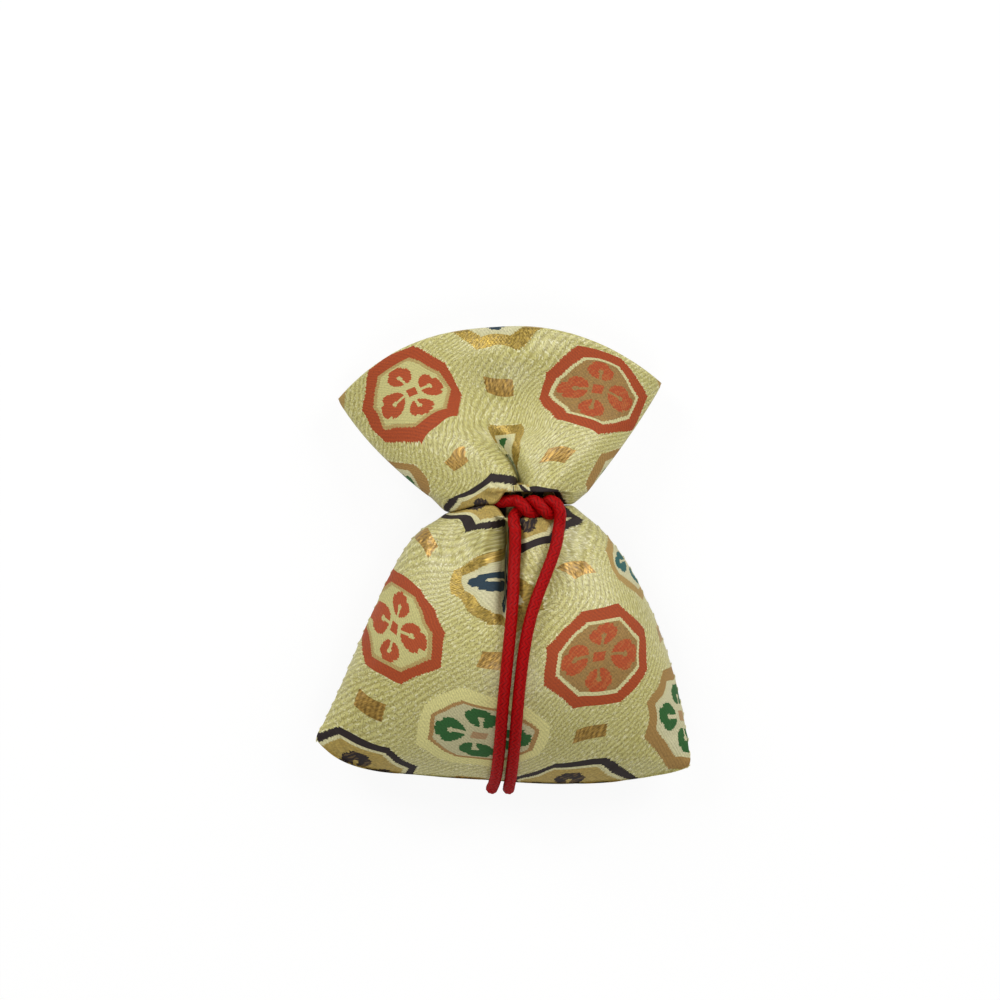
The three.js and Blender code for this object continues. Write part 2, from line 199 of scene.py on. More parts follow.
FRILL_MARKS = [
    # Row 4: the medallion in the fold above the knot, and the dashes beside it
    (-3.5, 20.9, -4.6, 60.2), (3.4, 20.4, 4.6, 60.2), (-3.0, 19.9, -5.5, 59.3),
    (-2.2, 18.5, -9.0, 56.6), (3.1, 18.0, 9.4, 56.4), (15.4, 13.4, 27.0, 52.5), (-13.4, 11.9, -27.0, 51.5),
    (-0.6, 17.7, -0.4, 56.8), (0.9, 17.4, 2.2, 56.6), (1.9, 17.5, 6.9, 56.2),
    (2.6, 15.8, 9.7, 54.4), (2.2, 13.6, 9.7, 52.2),
    (-8.5, 13.8, -19.7, 52), (-6.1, 15.6, -15.3, 52), (-7.9, 15.3, -17.5, 53), (9.0, 15.7, 17.5, 52),
    (-0.4, 25.9, 0, 65),
    # Row 5, left medallion
    (-14.3, 25.4, -17.5, 65), (-16.2, 28.0, -17.5, 68.85), (-11.3, 26.5, -13.05, 65),
    (-17.2, 23.6, -21.95, 65), (-12.8, 23.2, -17.5, 61.15),
    (-13.9, 32.8, -13.6, 73.3), (-21.6, 28.8, -21.4, 73.3), (-9.4, 30.7, -7.8, 69.1),
    (-5.7, 23.9, -7.8, 60.9), (-6.4, 22.9, -10.7, 58.8), (-7.1, 21.9, -13.6, 56.7),
    (-10.0, 19.7, -17.5, 56.7), (-12.9, 17.6, -21.4, 56.7), (-18.1, 17.0, -27.2, 60.9),
    (-22.7, 23.6, -27.2, 69.1),
    # Row 5, right medallion
    (15.0, 26.1, 17.5, 65), (15.3, 29.0, 17.5, 68.85), (11.0, 26.3, 13.05, 65),
    (18.4, 24.6, 21.95, 65), (14.0, 23.2, 17.5, 61.15),
    (11.6, 33.2, 13.6, 73.3), (19.2, 30.7, 21.4, 73.3), (22.8, 25.5, 27.2, 69.1), (19.5, 18.9, 27.2, 60.9),
    (15.0, 18.6, 21.4, 56.7), (7.9, 21.1, 13.6, 56.7), (5.4, 23.6, 7.8, 60.9), (6.6, 29.5, 7.8, 69.1),
    # Row 6, at the crown
    (-1.4, 33.0, 0, 69.8), (-7.9, 34.2, -8.5, 73), (5.8, 34.8, 8.5, 73),
    # Row 3, at the neck
    (-6.5, 9.7, -19.8, 47.4), (-4.4, 11.0, -17.0, 47.4), (-2.2, 12.6, -14.4, 47.4), (-1.0, 13.3, -12.9, 47.3),
    (0.4, 13.0, -11.4, 45.9),
    (2.8, 12.9, 12.5, 50), (4.2, 10.2, 14.5, 47.2), (8.6, 10.0, 21.2, 47.2),
]
# Length of cloth in the gathered lips of the neck, as a share of the length that shows
LOWER_LIP_CLOTH = 1.4
UPPER_LIP_CLOTH = 1.2
# How far the weave may miss its marks: enough that it doesn't buckle between them
BODY_MARK_EASE = 4.0
FRILL_MARK_EASE = 1.5


# Curves and blends

def mix(a, b, t):
    """From a to b as t goes from 0 to 1."""
    return a + (b - a) * t


def smooth(t):
    """0 below 0, 1 above 1, and an even rise between them."""
    t = np.clip(t, 0, 1)
    return t * t * (3 - 2 * t)


def bump(x, centre, width):
    """1 at the centre, and fading out over the width on both sides."""
    return np.exp(-(((x - centre) / width) ** 2))


def seam(start, end, handles, t):
    """Cubic curve of a side seam. A handle is placed by its share of the way across and along."""
    u = 1 - t
    weights = (u**3, 3 * u * u * t, 3 * u * t * t, t**3)
    place = []
    for k in (0, 1):
        stops = (start[k], *(mix(start[k], end[k], handle[k]) for handle in handles), end[k])
        place.append(sum(weight * stop for weight, stop in zip(weights, stops)))
    return place


BODY_TOP_Y = NECK_Y - SHOULDER
FRILL_BASE_Y = NECK_Y + SHOULDER
LIP_LEFT_X = NECK_X - SHOULDER_HALF_WIDTH
LIP_RIGHT_X = NECK_X + SHOULDER_HALF_WIDTH
angles = 2 * np.pi * np.arange(COLUMNS) / COLUMNS
sides = -np.cos(angles)
is_front = angles < np.pi
facing = np.where(is_front, 1.0, -1.0)
roundness = np.sqrt(np.maximum(1 - sides**2, 0))


def bow_share(side, powers):
    """Share of a row's bow, 1 at its middle and 0 at its ends. The powers are for its left and right half."""
    power = np.where(side < 0, powers[0], powers[1])
    return 1 - np.abs(side) ** power


def bow_to_reach(left_end, right_end, powers):
    """The bow with which a row just reaches half the pouch's length from the middle."""
    side = np.arange(99) / 50 - 0.98
    room = POUCH_LENGTH / 2 - mix(left_end, right_end, (side + 1) / 2)
    return np.min(room / bow_share(side, powers))


BOTTOM_BOW = BOTTOM_BOW_SHARE * bow_to_reach(-CORNER_LEFT[1], -CORNER_RIGHT[1], BOTTOM_BOW_POWERS)
CROWN_BOW = CROWN_BOW_SHARE * bow_to_reach(EAR_LEFT[1], EAR_RIGHT[1], CROWN_BOW_POWERS)


# The cloth, row by row. A row runs from the left side seam over the front to the right one, and back
# underneath.

def lower_fold_x(y):
    """Line of the fold that runs down from the knot."""
    return LOWER_FOLD_X + LOWER_FOLD_LEAN * (y - 3)


def upper_fold_x(y):
    """Line of the fold above the knot, which leans to the left as it climbs."""
    return UPPER_FOLD_X - UPPER_FOLD_LEAN * smooth((y - 11.2) / 10.5)


def notch_drop(x, y):
    """The notch at the left of the neck lies lower than the knot."""
    return -NOTCH_DROP * smooth((-2.5 - x) / 6.5) * bump(y, NECK_Y, 3.6)


def body_row(t):
    """A row of the filled body, from the bottom fold at 0 to the shoulder at 1."""
    left = seam(CORNER_LEFT, (LIP_LEFT_X, BODY_TOP_Y), BODY_SEAM_LEFT, t)
    right = seam(CORNER_RIGHT, (LIP_RIGHT_X, BODY_TOP_Y), BODY_SEAM_RIGHT, t)
    across = (sides + 1) / 2
    squareness = smooth(t * 2)
    powers = [mix(power, 2, squareness) for power in BOTTOM_BOW_POWERS]
    bow = BOTTOM_BOW * (1 - t**2.5) * bow_share(sides, powers)
    x = mix(left[0], right[0], across)
    y = mix(left[1], right[1], across) - bow
    seam_z = mix(CORNER_LIFT, NECK_Z, smooth(t))
    section = roundness ** mix(LENS_POWER, 1, smooth(t * 2 - 1))
    swell = math.sin(math.pi / 2 * t / BELLY_PEAK) ** FOLD_POWER if t < BELLY_PEAK else 1
    fade = smooth((t - BELLY_PEAK) / (1 - BELLY_PEAK))
    depth = swell * mix(np.where(is_front, BELLY_RISE, BACK_SAG), LIP_HALF_DEPTH, fade)
    z = seam_z + facing * depth * section
    return np.stack([x, y, z], axis=1)


def neck_row(share, rise):
    """share is 1 on the lips of cloth over the cord and 0 on the floor of the groove."""
    half_width = mix(GROOVE_HALF_WIDTH, LIP_HALF_WIDTH, share)
    half_depth = mix(GROOVE_HALF_DEPTH, LIP_HALF_DEPTH, share)
    x = NECK_X + half_width * sides
    z = NECK_Z + facing * half_depth * roundness
    return np.stack([x, NECK_Y + rise, z], axis=1)


def frill_row(t):
    """A row of the flared frill, from its base at 0 to the crown at 1."""
    left = seam((LIP_LEFT_X, FRILL_BASE_Y), EAR_LEFT, FRILL_SEAM_LEFT, t)
    right = seam((LIP_RIGHT_X, FRILL_BASE_Y), EAR_RIGHT, FRILL_SEAM_RIGHT, t)
    across = (sides + 1) / 2
    bow = CROWN_BOW * t * bow_share(sides, CROWN_BOW_POWERS)
    x = mix(left[0], right[0], across)
    y = mix(left[1], right[1], across) + bow
    seam_z = mix(NECK_Z, EAR_LIFT, smooth(t))
    section = roundness ** mix(1, LENS_POWER, t)
    depth = mix(LIP_HALF_DEPTH, FRILL_HALF_DEPTH, smooth(t))
    wave = 0.7 * smooth(t) * section * np.sin(7 * sides + np.where(is_front, 0.6, 2.4))
    z = seam_z + facing * depth * section + wave
    return np.stack([x, y, z], axis=1)


def pocket_row(t):
    """The row inside the mouth that lines a row of the frill."""
    outer = frill_row(t)
    twin = (COLUMNS - np.arange(COLUMNS)) % COLUMNS
    shrink = 1 - FRILL_POCKET_SIDE / ((EAR_RIGHT[0] - EAR_LEFT[0]) / 2)
    x = mix((EAR_RIGHT[0] + EAR_LEFT[0]) / 2, outer[:, 0], shrink)
    middle = (outer[:, 2] + outer[twin, 2]) / 2
    gap = np.maximum(np.abs(outer[:, 2] - middle) - FRILL_FOLD, 0.3)
    gap = gap * np.maximum(1 - sides**2, 0) ** 0.25
    return np.stack([x, outer[:, 1], middle + facing * gap], axis=1)


def round_corner(row, t, radius):
    """Draws in the ends of a row, so that the cloth's corners are round. t is the share of the radius."""
    if t >= 1:
        return row
    pull = radius * (1 - math.sqrt(max(1 - (1 - t) ** 2, 0)))
    near = np.exp(-(1 - np.abs(sides)) / CORNER_REACH)
    row[:, 0] -= np.sign(sides) * pull * near
    return row


def lip_opening():
    """How open the lips stand, by place round the neck: only in front, round the knot."""
    x = NECK_X + LIP_HALF_WIDTH * sides
    return np.where(is_front, np.exp(-(((x - LIP_OPENING_X) / LIP_OPENING_HALF_WIDTH) ** 6)), 0)


def groove_rows(sign):
    """From a shoulder of the cloth over its lip and down to the floor of the groove."""
    values = np.array(GROOVE_STATIONS)
    index = np.arange(len(values))
    rows = []
    for place in np.linspace(0, len(values) - 1, GROOVE_ROWS * 2)[1:]:
        share, closed, parts = [np.interp(place, index, values[:, k]) for k in range(3)]
        row = neck_row(min(share, 1.0), sign * (closed + LIP_PARTING * parts * lip_opening()))
        row[:, 1] += notch_drop(row[:, 0], row[:, 1]) * smooth((share - 0.62) / 0.25)
        if share > 1:
            half_width = mix(GROOVE_HALF_WIDTH, LIP_HALF_WIDTH, share)
            row[:, 0] = NECK_X + (row[:, 0] - NECK_X) * half_width / LIP_HALF_WIDTH
        rows.append(row)
    return rows


HALF = COLUMNS // 2
body_shares = (np.arange(BODY_ROWS) / (BODY_ROWS - 1)) ** 1.15
frill_shares = np.linspace(0, 1, FRILL_ROWS)


def plain_sections():
    """The cloth without its small folds, in sections of rows from the bottom fold to the pocket's end."""
    body = np.array([round_corner(body_row(t), t / CORNER_SHARE, CORNER_RADIUS) for t in body_shares])
    lower = np.array(groove_rows(-1))
    upper = np.array(groove_rows(1)[::-1])
    frill = []
    for t in frill_shares:
        frill.append(round_corner(frill_row(t * ROLL_START), (1 - t) / CORNER_SHARE + 0.1, EAR_RADIUS))
    roll = []
    for step in range(1, ROLL_ROWS):
        turn = math.pi * step / ROLL_ROWS
        t = ROLL_START + (1 - ROLL_START) * math.sin(turn)
        roll.append(mix(frill_row(t), pocket_row(t), (1 - math.cos(turn)) / 2))
    bottom = 1 - FRILL_POCKET_DEPTH / (POUCH_LENGTH / 2 - FRILL_BASE_Y)
    pocket = np.array([pocket_row(t) for t in np.linspace(ROLL_START, bottom, POCKET_ROWS)])
    return [body, lower, upper, np.array(frill), np.array(roll), pocket]


# Where the weave lies

def run_along(rows):
    """Length along each column, from the first row."""
    steps = np.linalg.norm(np.diff(rows, axis=0), axis=2)
    return np.concatenate([np.zeros((1, rows.shape[1])), np.cumsum(steps, axis=0)])


def run_across(rows, x_zero):
    """Length along each row of the front, from where the row crosses x_zero."""
    run = run_along(rows.swapaxes(0, 1)).T
    for k, row in enumerate(rows):
        run[k] -= np.interp(x_zero[k], row[:, 0], run[k])
    return run


def tucked_cloth(y):
    """Width of cloth that the fold at the knot takes in, by place along the pouch."""
    below = TUCKED_WIDTH * smooth((y - LOWER_FOLD_START_Y) / 14.5)
    above = TUCKED_WIDTH * smooth((UPPER_TUCK_END_Y - y) / 9) ** 0.8
    return np.where(y < NECK_Y, below, above)


def spline_through(places, values, ease):
    """Thin-plate spline through marks. Gives back a function of places."""
    count = len(places)
    apart = np.linalg.norm(places[:, None] - places[None], axis=2)
    kernel = apart**2 * np.log(apart + 1e-9) + ease * np.eye(count)
    plane = np.concatenate([np.ones((count, 1)), places], axis=1)
    system = np.block([[kernel, plane], [plane.T, np.zeros((3, 3))]])
    weights = np.linalg.solve(system, np.concatenate([values, np.zeros((3, values.shape[1]))]))

    def value_at(where):
        reach = np.linalg.norm(where[:, None] - places[None], axis=2)
        bend = (reach**2 * np.log(reach + 1e-9)) @ weights[:count]
        return bend + weights[count] + where @ weights[count + 1:]

    return value_at


def weave_over(front, marks, along, fold_x, ease):
    """Place on the flat cloth, in mm, for every point of a front. along is the length up the pouch."""
    x = front[:, :, 0]
    y = front[:, :, 1]
    across = run_across(front, [fold_x(row[HALF // 2, 1]) for row in front])
    side_of_fold = np.tanh((x - fold_x(y)) / 0.35)
    across = across + side_of_fold * tucked_cloth(y) / 2
    places = []
    for mark in marks:
        distance = np.hypot(x - mark[0], y - mark[1])
        k, j = np.unravel_index(np.argmin(distance), distance.shape)
        places.append((across[k, j], along[k, j]))
    value_at = spline_through(np.array(places), np.array(marks)[:, 2:], ease)
    flat = np.stack([across.ravel(), along.ravel()], axis=1)
    return value_at(flat).reshape(front.shape[0], front.shape[1], 2)


def back_weave(back, front_weave, fold_v):
    """The back panel is the same cloth, turned up at the bottom fold, so it counts on down from there."""
    run = run_along(back.swapaxes(0, 1)).T
    share = run / run[:, -1:]
    across = mix(front_weave[:, -1:, 0], front_weave[:, :1, 0], share)
    up = 2 * fold_v[None, ::-1] - front_weave[:, ::-1, 1]
    return np.stack([across, up], axis=2)


def run_on(weave, before, section, stretch):
    """Carries the weave on from the last row of one section over the next one."""
    run = run_along(np.concatenate([before[-1:], section]))[1:]
    return weave[-1:] + np.stack([run * 0, run * stretch], axis=2)


def weave_of_sections(sections):
    """Place on the flat cloth for the front and for the back of every section."""
    wrap = [np.concatenate([part, part[:, :1]], axis=1) for part in sections]
    fronts = [part[:, :HALF + 1] for part in wrap]
    backs = [part[:, HALF:] for part in wrap]

    body_along = run_along(fronts[0])
    body_along = body_along - body_along[-1:]
    body_weave = weave_over(fronts[0], BODY_MARKS, body_along, lower_fold_x, BODY_MARK_EASE)
    frill_weave = weave_over(fronts[3], FRILL_MARKS, run_along(fronts[3]), upper_fold_x, FRILL_MARK_EASE)

    lower_weave = run_on(body_weave, fronts[0], fronts[1], LOWER_LIP_CLOTH)
    upper_weave = run_on(frill_weave[::-1], fronts[3][::-1], fronts[2][::-1], -UPPER_LIP_CLOTH)[::-1]
    roll_weave = run_on(frill_weave, fronts[3], fronts[4], 1)
    pocket_weave = run_on(roll_weave, fronts[4], fronts[5], 1)
    front_weaves = [body_weave, lower_weave, upper_weave, frill_weave, roll_weave, pocket_weave]
    fold_v = body_weave[0, :, 1]
    back_weaves = [back_weave(back, front, fold_v) for back, front in zip(backs, front_weaves)]
    return np.concatenate(front_weaves), np.concatenate(back_weaves)


# Meshes and objects

def placed(name, data):
    """A new object in the scene."""
    piece = bpy.data.objects.new(name, data)
    bpy.context.scene.collection.objects.link(piece)
    return piece


def faces_between(rings, around):
    """Faces between closed rings of points, which lie in the list ring after ring."""
    here = np.arange(around)
    following = (here + 1) % around
    face = np.stack([here, following, following + around, here + around], axis=1)
    return np.concatenate([face + ring * around for ring in range(rings - 1)])


def shade_smooth(piece):
    """Shades every face of a piece as part of one smooth surface."""
    piece.data.polygons.foreach_set("use_smooth", [True] * len(piece.data.polygons))


# Small folds of the cloth

def ridges(x, line, heights):
    """Height of the ridges that stand beside a fold."""
    return sum(height * bump(x, line + aside, width) for height, aside, width in heights)


def gathers(angle, waves):
    """Waves of the gathers round the neck, by the angle they fan out at."""
    return sum(share * np.sin(count * angle + phase) for share, count, phase in waves)


def dress_body(rows):
    """The fold below the knot, gathers round the neck, soft dents, and puckers along the side seams."""
    x, y, z = (rows[:, :, k].copy() for k in range(3))
    line = lower_fold_x(y)
    strength = smooth((y - LOWER_FOLD_START_Y) / 7) * is_front
    depth = mix(*LOWER_FOLD_DEPTHS, smooth((y + 9) / 9))
    z -= depth * strength * np.exp(-((np.abs(x - line) / LOWER_FOLD_WIDTH) ** 1.5))
    z += strength * ridges(x, line, LOWER_RIDGES)
    x += 0.8 * strength * bump(x, line - 1.5, 1.35)

    angle = np.arctan2(x - NECK_X, NECK_Y + 4 - y)
    far = np.hypot(x - NECK_X, NECK_Y - y)
    reach = np.exp(-np.maximum(far - 6, 0) / 6.5) * np.where(is_front, *BODY_GATHER_HEIGHTS)
    z += facing * gathers(angle, BODY_GATHERS) * reach * roundness

    dents = np.sin(x / 4.3 + y / 7.1 + 0.5) * np.sin(y / 5.2 - x / 9.0 + 1.1)
    z += facing * DENT_HEIGHT * dents * (1 - sides**2) * smooth(body_shares * 3)[:, None]

    height, length = BODY_PUCKER
    edge = np.exp(-(1 - np.abs(sides)) / PUCKER_REACH) * smooth(body_shares * 4)[:, None]
    z += height * edge * np.sin(2 * np.pi * run_along(rows) / length + 2 * sides)
    y = y + notch_drop(x, y)
    return np.stack([x, y, z], axis=2)


def dress_frill(rows, shares):
    """The fold above the knot, gathers that open towards the mouth, and puckers along the side seams."""
    x, y, z = (rows[:, :, k].copy() for k in range(3))
    shares = shares[:, None]
    line = upper_fold_x(y)
    strength = smooth((UPPER_FOLD_END_Y - y) / 7) * is_front
    width = mix(*UPPER_FOLD_WIDTHS, smooth((y - 11) / 9))
    z -= UPPER_FOLD_DEPTH * strength * bump(x, line, width)
    z += strength * ridges(x, line, UPPER_RIDGES)
    x += 1.0 * strength * bump(x, line - 1.1, 1.1)
    # The crown stands up in the middle, and the cloth dips below it
    swell = 1.0 * bump(y, 31.5, 3.2) * smooth((35.5 - y) / 3) - 1.6 * bump(y, 23.5, 4.5)
    z += swell * bump(x, 0.5, 8.5) * is_front

    angle = np.arctan2(x - NECK_X, y - NECK_Y + 4)
    reach = ((1 - smooth(shares / 0.75)) * 0.8 + 0.1) * np.where(is_front, *FRILL_GATHER_HEIGHTS)
    z += facing * gathers(angle, FRILL_GATHERS) * reach * roundness

    height, length = FRILL_PUCKER
    edge = np.exp(-(1 - np.abs(sides)) / PUCKER_REACH)
    z += height * edge * np.sin(2 * np.pi * run_along(rows) / length)
    y = y + notch_drop(x, y)
    return np.stack([x, y, z], axis=2)


# Cloth simulation of the filled bag. It runs at twenty times the size, where Blender's cloth is steady.

SIM_SCALE = 20.0
# Rows and columns of the cloth that one face of the coarse bag spans
SIM_ROW_STEP = 3
SIM_COLUMN_STEP = 4
SIM_FRAMES = 18
SIM_SLACK = 0.035
SIM_PRESSURE = 2.5
# Coarse rows from the neck down that are held, ever less, and over which the movement dies out
SIM_HELD_ROWS = 6
SIM_FADE_ROWS = 4
# The swell is what is left of the movement after this many smoothings, and this share of it is left out
SIM_SMOOTHINGS = 14
SIM_SWELL_LEFT_OUT = 0.93
# Creases and dents are made a little deeper, then capped at so many mm, and damped across the outline
SIM_GAIN = 1.3
SIM_CAP = 0.8
SIM_OUTLINE_SHARE = 0.2
SIM_CLOTH = {
    "vertex_group_mass": "held", "pin_stiffness": 1.0, "quality": 8, "mass": 0.2, "tension_stiffness": 25,
    "compression_stiffness": 25, "shear_stiffness": 5, "bending_stiffness": 0.4, "air_damping": 4,
    "use_pressure": True, "uniform_pressure_force": SIM_PRESSURE, "shrink_min": -SIM_SLACK,
}


def simulated(places, faces, held_shares):
    """Where the points of a mesh come to lie after the cloth simulation, in mm."""
    mesh = bpy.data.meshes.new("settling")
    mesh.from_pydata(places * MM * SIM_SCALE, [], faces)
    piece = placed("settling", mesh)
    held = piece.vertex_groups.new(name="held")
    for vertex, share in enumerate(held_shares):
        held.add([vertex], share, "REPLACE")
    cloth = piece.modifiers.new("cloth", "CLOTH")
    cloth.settings.effector_weights.gravity = 0
    for key, value in SIM_CLOTH.items():
        setattr(cloth.settings, key, value)
    cloth.collision_settings.use_collision = False
    cloth.collision_settings.use_self_collision = False
    cloth.point_cache.frame_start = 1
    cloth.point_cache.frame_end = SIM_FRAMES
    scene = bpy.context.scene
    for number in range(1, SIM_FRAMES + 1):
        scene.frame_set(number)
    settled = piece.evaluated_get(bpy.context.evaluated_depsgraph_get()).to_mesh()
    moved = np.zeros(len(places) * 3)
    settled.vertices.foreach_get("co", moved)
    piece.evaluated_get(bpy.context.evaluated_depsgraph_get()).to_mesh_clear()
    bpy.data.objects.remove(piece)
    scene.frame_set(1)
    return moved.reshape(-1, 3) / (MM * SIM_SCALE)


def creases_of(shift):
    """The creases and dents of a movement, without the swell, which is in the sections already."""
    swell = shift
    for _ in range(SIM_SMOOTHINGS):
        around = np.concatenate([swell[:1], swell[:-1]]) + np.concatenate([swell[1:], swell[-1:]])
        swell = (around + np.roll(swell, 1, axis=1) + np.roll(swell, -1, axis=1) + 4 * swell) / 8
    shift = (shift - SIM_SWELL_LEFT_OUT * swell) * SIM_GAIN
    size = np.linalg.norm(shift, axis=2, keepdims=True)
    shift = shift * SIM_CAP * np.tanh(size / SIM_CAP) / np.maximum(size, 1e-9)
    to_neck = len(shift) - 1 - np.arange(len(shift))
    shift *= np.clip(to_neck / SIM_FADE_ROWS, 0, 1)[:, None, None]
    shift[:, :, :2] *= SIM_OUTLINE_SHARE
    return shift


def spread_over_rows(shift, row_picks):
    """Takes a movement of the coarse bag over to the fine rows, smoothly."""
    wrapped = np.concatenate([shift, shift[:, :1]], axis=1)
    columns = np.arange(COLUMNS) / SIM_COLUMN_STEP
    low = np.floor(columns).astype(int)
    across = mix(wrapped[:, low], wrapped[:, low + 1], smooth(columns - low)[None, :, None])
    fine = np.zeros((BODY_ROWS, COLUMNS, 3))
    for r in range(BODY_ROWS):
        k = min(np.searchsorted(row_picks, r, side="right") - 1, len(row_picks) - 2)
        t = smooth((r - row_picks[k]) / (row_picks[k + 1] - row_picks[k]))
        fine[r] = mix(across[k], across[k + 1], t)
    return fine


def settle(rows):
    """Lets the filled bag settle as cloth with a little slack, blown up by its filling and held at the neck.
    Gives back how far each point of the rows moves, in mm."""
    row_picks = np.arange(0, BODY_ROWS, SIM_ROW_STEP)
    row_picks[-1] = BODY_ROWS - 1
    coarse = rows[row_picks][:, ::SIM_COLUMN_STEP]
    count_rows, count_columns = coarse.shape[:2]
    index = np.arange(count_rows * count_columns).reshape(count_rows, count_columns)
    # The panels are one cloth at the bottom fold, so the back's first row uses the front's points
    mirror = (count_columns - np.arange(count_columns)) % count_columns
    index[0] = np.minimum(index[0], index[0][mirror])
    used, compact = np.unique(index, return_inverse=True)
    compact = compact.reshape(index.shape)
    faces = []
    for face in compact.ravel()[faces_between(count_rows, count_columns)].tolist():
        corners = list(dict.fromkeys(face))
        if len(corners) > 2:
            faces.append(corners)
    places = coarse.reshape(-1, 3)[used]
    to_neck = count_rows - 1 - used // count_columns
    held_shares = np.maximum(0.0, 1.0 - to_neck / SIM_HELD_ROWS).tolist()
    shift = (simulated(places, faces, held_shares) - places)[compact]
    fine = spread_over_rows(creases_of(shift), row_picks)
    # Under the tails the cloth is pressed down and doesn't rise
    for tail in (LEFT_TAIL, RIGHT_TAIL):
        tail_x = np.interp(-rows[:, :, 1], [-point[1] for point in tail], [point[0] for point in tail])
        pressed = bump(rows[:, :, 0], tail_x, 2.0) * is_front
        fine[:, :, 2] -= pressed * np.maximum(fine[:, :, 2], 0)
    return fine


def lie_flat(points):
    """The underside flattens softly on the table."""
    softness = 0.35
    points[..., 2] = softness * np.logaddexp(0, points[..., 2] / softness)
    return points


def cloth_mesh(name):
    """The whole cloth as one mesh, and its sewn lines: two side seams and the hem in the mouth."""
    sections = plain_sections()
    weaves = weave_of_sections(sections)
    body, lower, upper, frill, roll, pocket = sections
    bag = dress_body(body)
    bag = bag + settle(bag)
    dressed = [bag, lower, upper, dress_frill(frill, frill_shares), roll, pocket]
    points = lie_flat(np.concatenate(dressed))
    seam_rows = points[2:BODY_ROWS - 6]
    sewn = {"left_seam_stitches": seam_rows[:, 0], "right_seam_stitches": seam_rows[:, HALF],
            "hem_stitches": points[-HEM_ROW]}

    corners = []
    for r in range(len(points) - 1):
        for weave in weaves:
            a, b = weave[r], weave[r + 1]
            corners.append(np.stack([a[:-1], a[1:], b[1:], b[:-1]], axis=1))
    mesh = bpy.data.meshes.new(name)
    mesh.from_pydata(points.reshape(-1, 3) * MM, [], faces_between(len(points), COLUMNS).tolist())
    layer = mesh.uv_layers.new(name="cloth")
    layer.data.foreach_set("uv", np.concatenate(corners).reshape(-1))
    return mesh, sewn


# Colours and nodes

def linear(code):
    """Linear colour of an sRGB hex value."""
    values = [int(code[i:i + 2], 16) / 255 for i in (0, 2, 4)]
    return [v / 12.92 if v <= 0.04045 else ((v + 0.055) / 1.055) ** 2.4 for v in values] + [1.0]


def feed(node, place, value):
    """Gives an input a value, or links it to a socket or to a node's first output."""
    if isinstance(value, bpy.types.Node):
        value = value.outputs[0]
    if isinstance(value, bpy.types.NodeSocket):
        node.id_data.links.new(value, node.inputs[place])
    else:
        node.inputs[place].default_value = value


def add(tree, kind, *inputs, **settings):
    """Adds a node with its settings, and feeds its inputs in order. None leaves an input as it is."""
    node = tree.nodes.new(kind)
    for key, value in settings.items():
        setattr(node, key, value)
    for place, value in enumerate(inputs):
        if value is not None:
            feed(node, place, value)
    return node


def emptied(owner):
    """The node tree of a material or a world, with no node in it."""
    owner.use_nodes = True
    owner.node_tree.nodes.clear()
    return owner.node_tree


def new_material(name):
    """A material with a plain surface, its node tree, and the surface to be dressed."""
    material = bpy.data.materials.new(name)
    tree = emptied(material)
    surface = add(tree, "ShaderNodeBsdfPrincipled")
    add(tree, "ShaderNodeOutputMaterial", surface)
    return material, tree, surface


def ramp_steps(node, colours):
    """Fills a ramp with colours of equal width and hard edges."""
    ramp = node.color_ramp
    ramp.interpolation = "CONSTANT"
    while len(ramp.elements) > 1:
        ramp.elements.remove(ramp.elements[-1])
    ramp.elements[0].position = 0
    ramp.elements[0].color = linear(colours[0])
    for i, code in enumerate(colours[1:], 1):
        ramp.elements.new(i / len(colours)).color = linear(code)


MATH = "ShaderNodeMath"
BLEND = "ShaderNodeMixRGB"
NOISE = "ShaderNodeTexNoise"

# Ground of the weave: from one twill line to the next in mm of flat cloth, the sine of the lines' slope,
# and the colours of the threads. The rim colour is no thread but a painted highlight of the satin just
# outside the medallions.
TWILL = 0.85
TWILL_SLOPE = 0.7071
SATIN = "c2bc78"
SATIN_DEEP = "958c50"
SATIN_LIGHT = "dfdcb8"
SATIN_DARK = "766d38"
SATIN_PATCH = "a49c56"
# Painted highlight of the satin along the outer edge of every medallion
SATIN_RIM_HIGHLIGHT = "dedbb6"
GILT_DEEP = "785c24"
GILT_LIGHT = "aa8740"
GILT_SPECK = "c29c54"
# Colours change from one thread to the next, so their edges go by these steps in mm. Real threads are about
# half as wide, which is too fine to show. The wander moves the edges by less than half of itself in mm.
THREAD_STEP_U = 0.18
THREAD_STEP_V = 0.24
EDGE_TOOTH = 0.3
THREAD_WANDER = 0.9
FLOAT_SPACING = 0.5
GILT_RIB_SPACING = 0.7

# Medallions of the weave, in mm of flat cloth. They stand on a staggered lattice.
REPEAT_U = 35.0
REPEAT_V = 26.0
MEDALLION_HALF_WIDTH = 9.7
MEDALLION_HALF_HEIGHT = 8.3
BORDER = 1.9
BLACK_BORDER = 1.15
LINE = 0.6
# The slanted sides of the octagon: where their lines cross the level and the upright axis, and how far out
# from the middle they run
SLANT_U = 13.44
SLANT_V = 11.31
SLANT_WAY = 8.654
DASH_HALF_WIDTH = 2.2
DASH_HALF_HEIGHT = 1.0
# One quarter of the flower: centre across and up, half width and half height
SIDE_PETAL = (4.45, 0, 2.6, 2.5)
END_PETAL = (0, 3.85, 2.25, 1.9)
SIDE_VEIN = (2.9, 0, 1.5, 0.25)
END_VEIN = (0, 2.6, 0.25, 1.1)
VEIN_TIPS = [(4.2, 0, 0.55, 0.5), (0, 3.6, 0.5, 0.45), (6.3, 1.9, 0.6, 0.5), (1.9, 5.3, 0.6, 0.5)]
HEART = (0, 0, 0.95, 0.85)
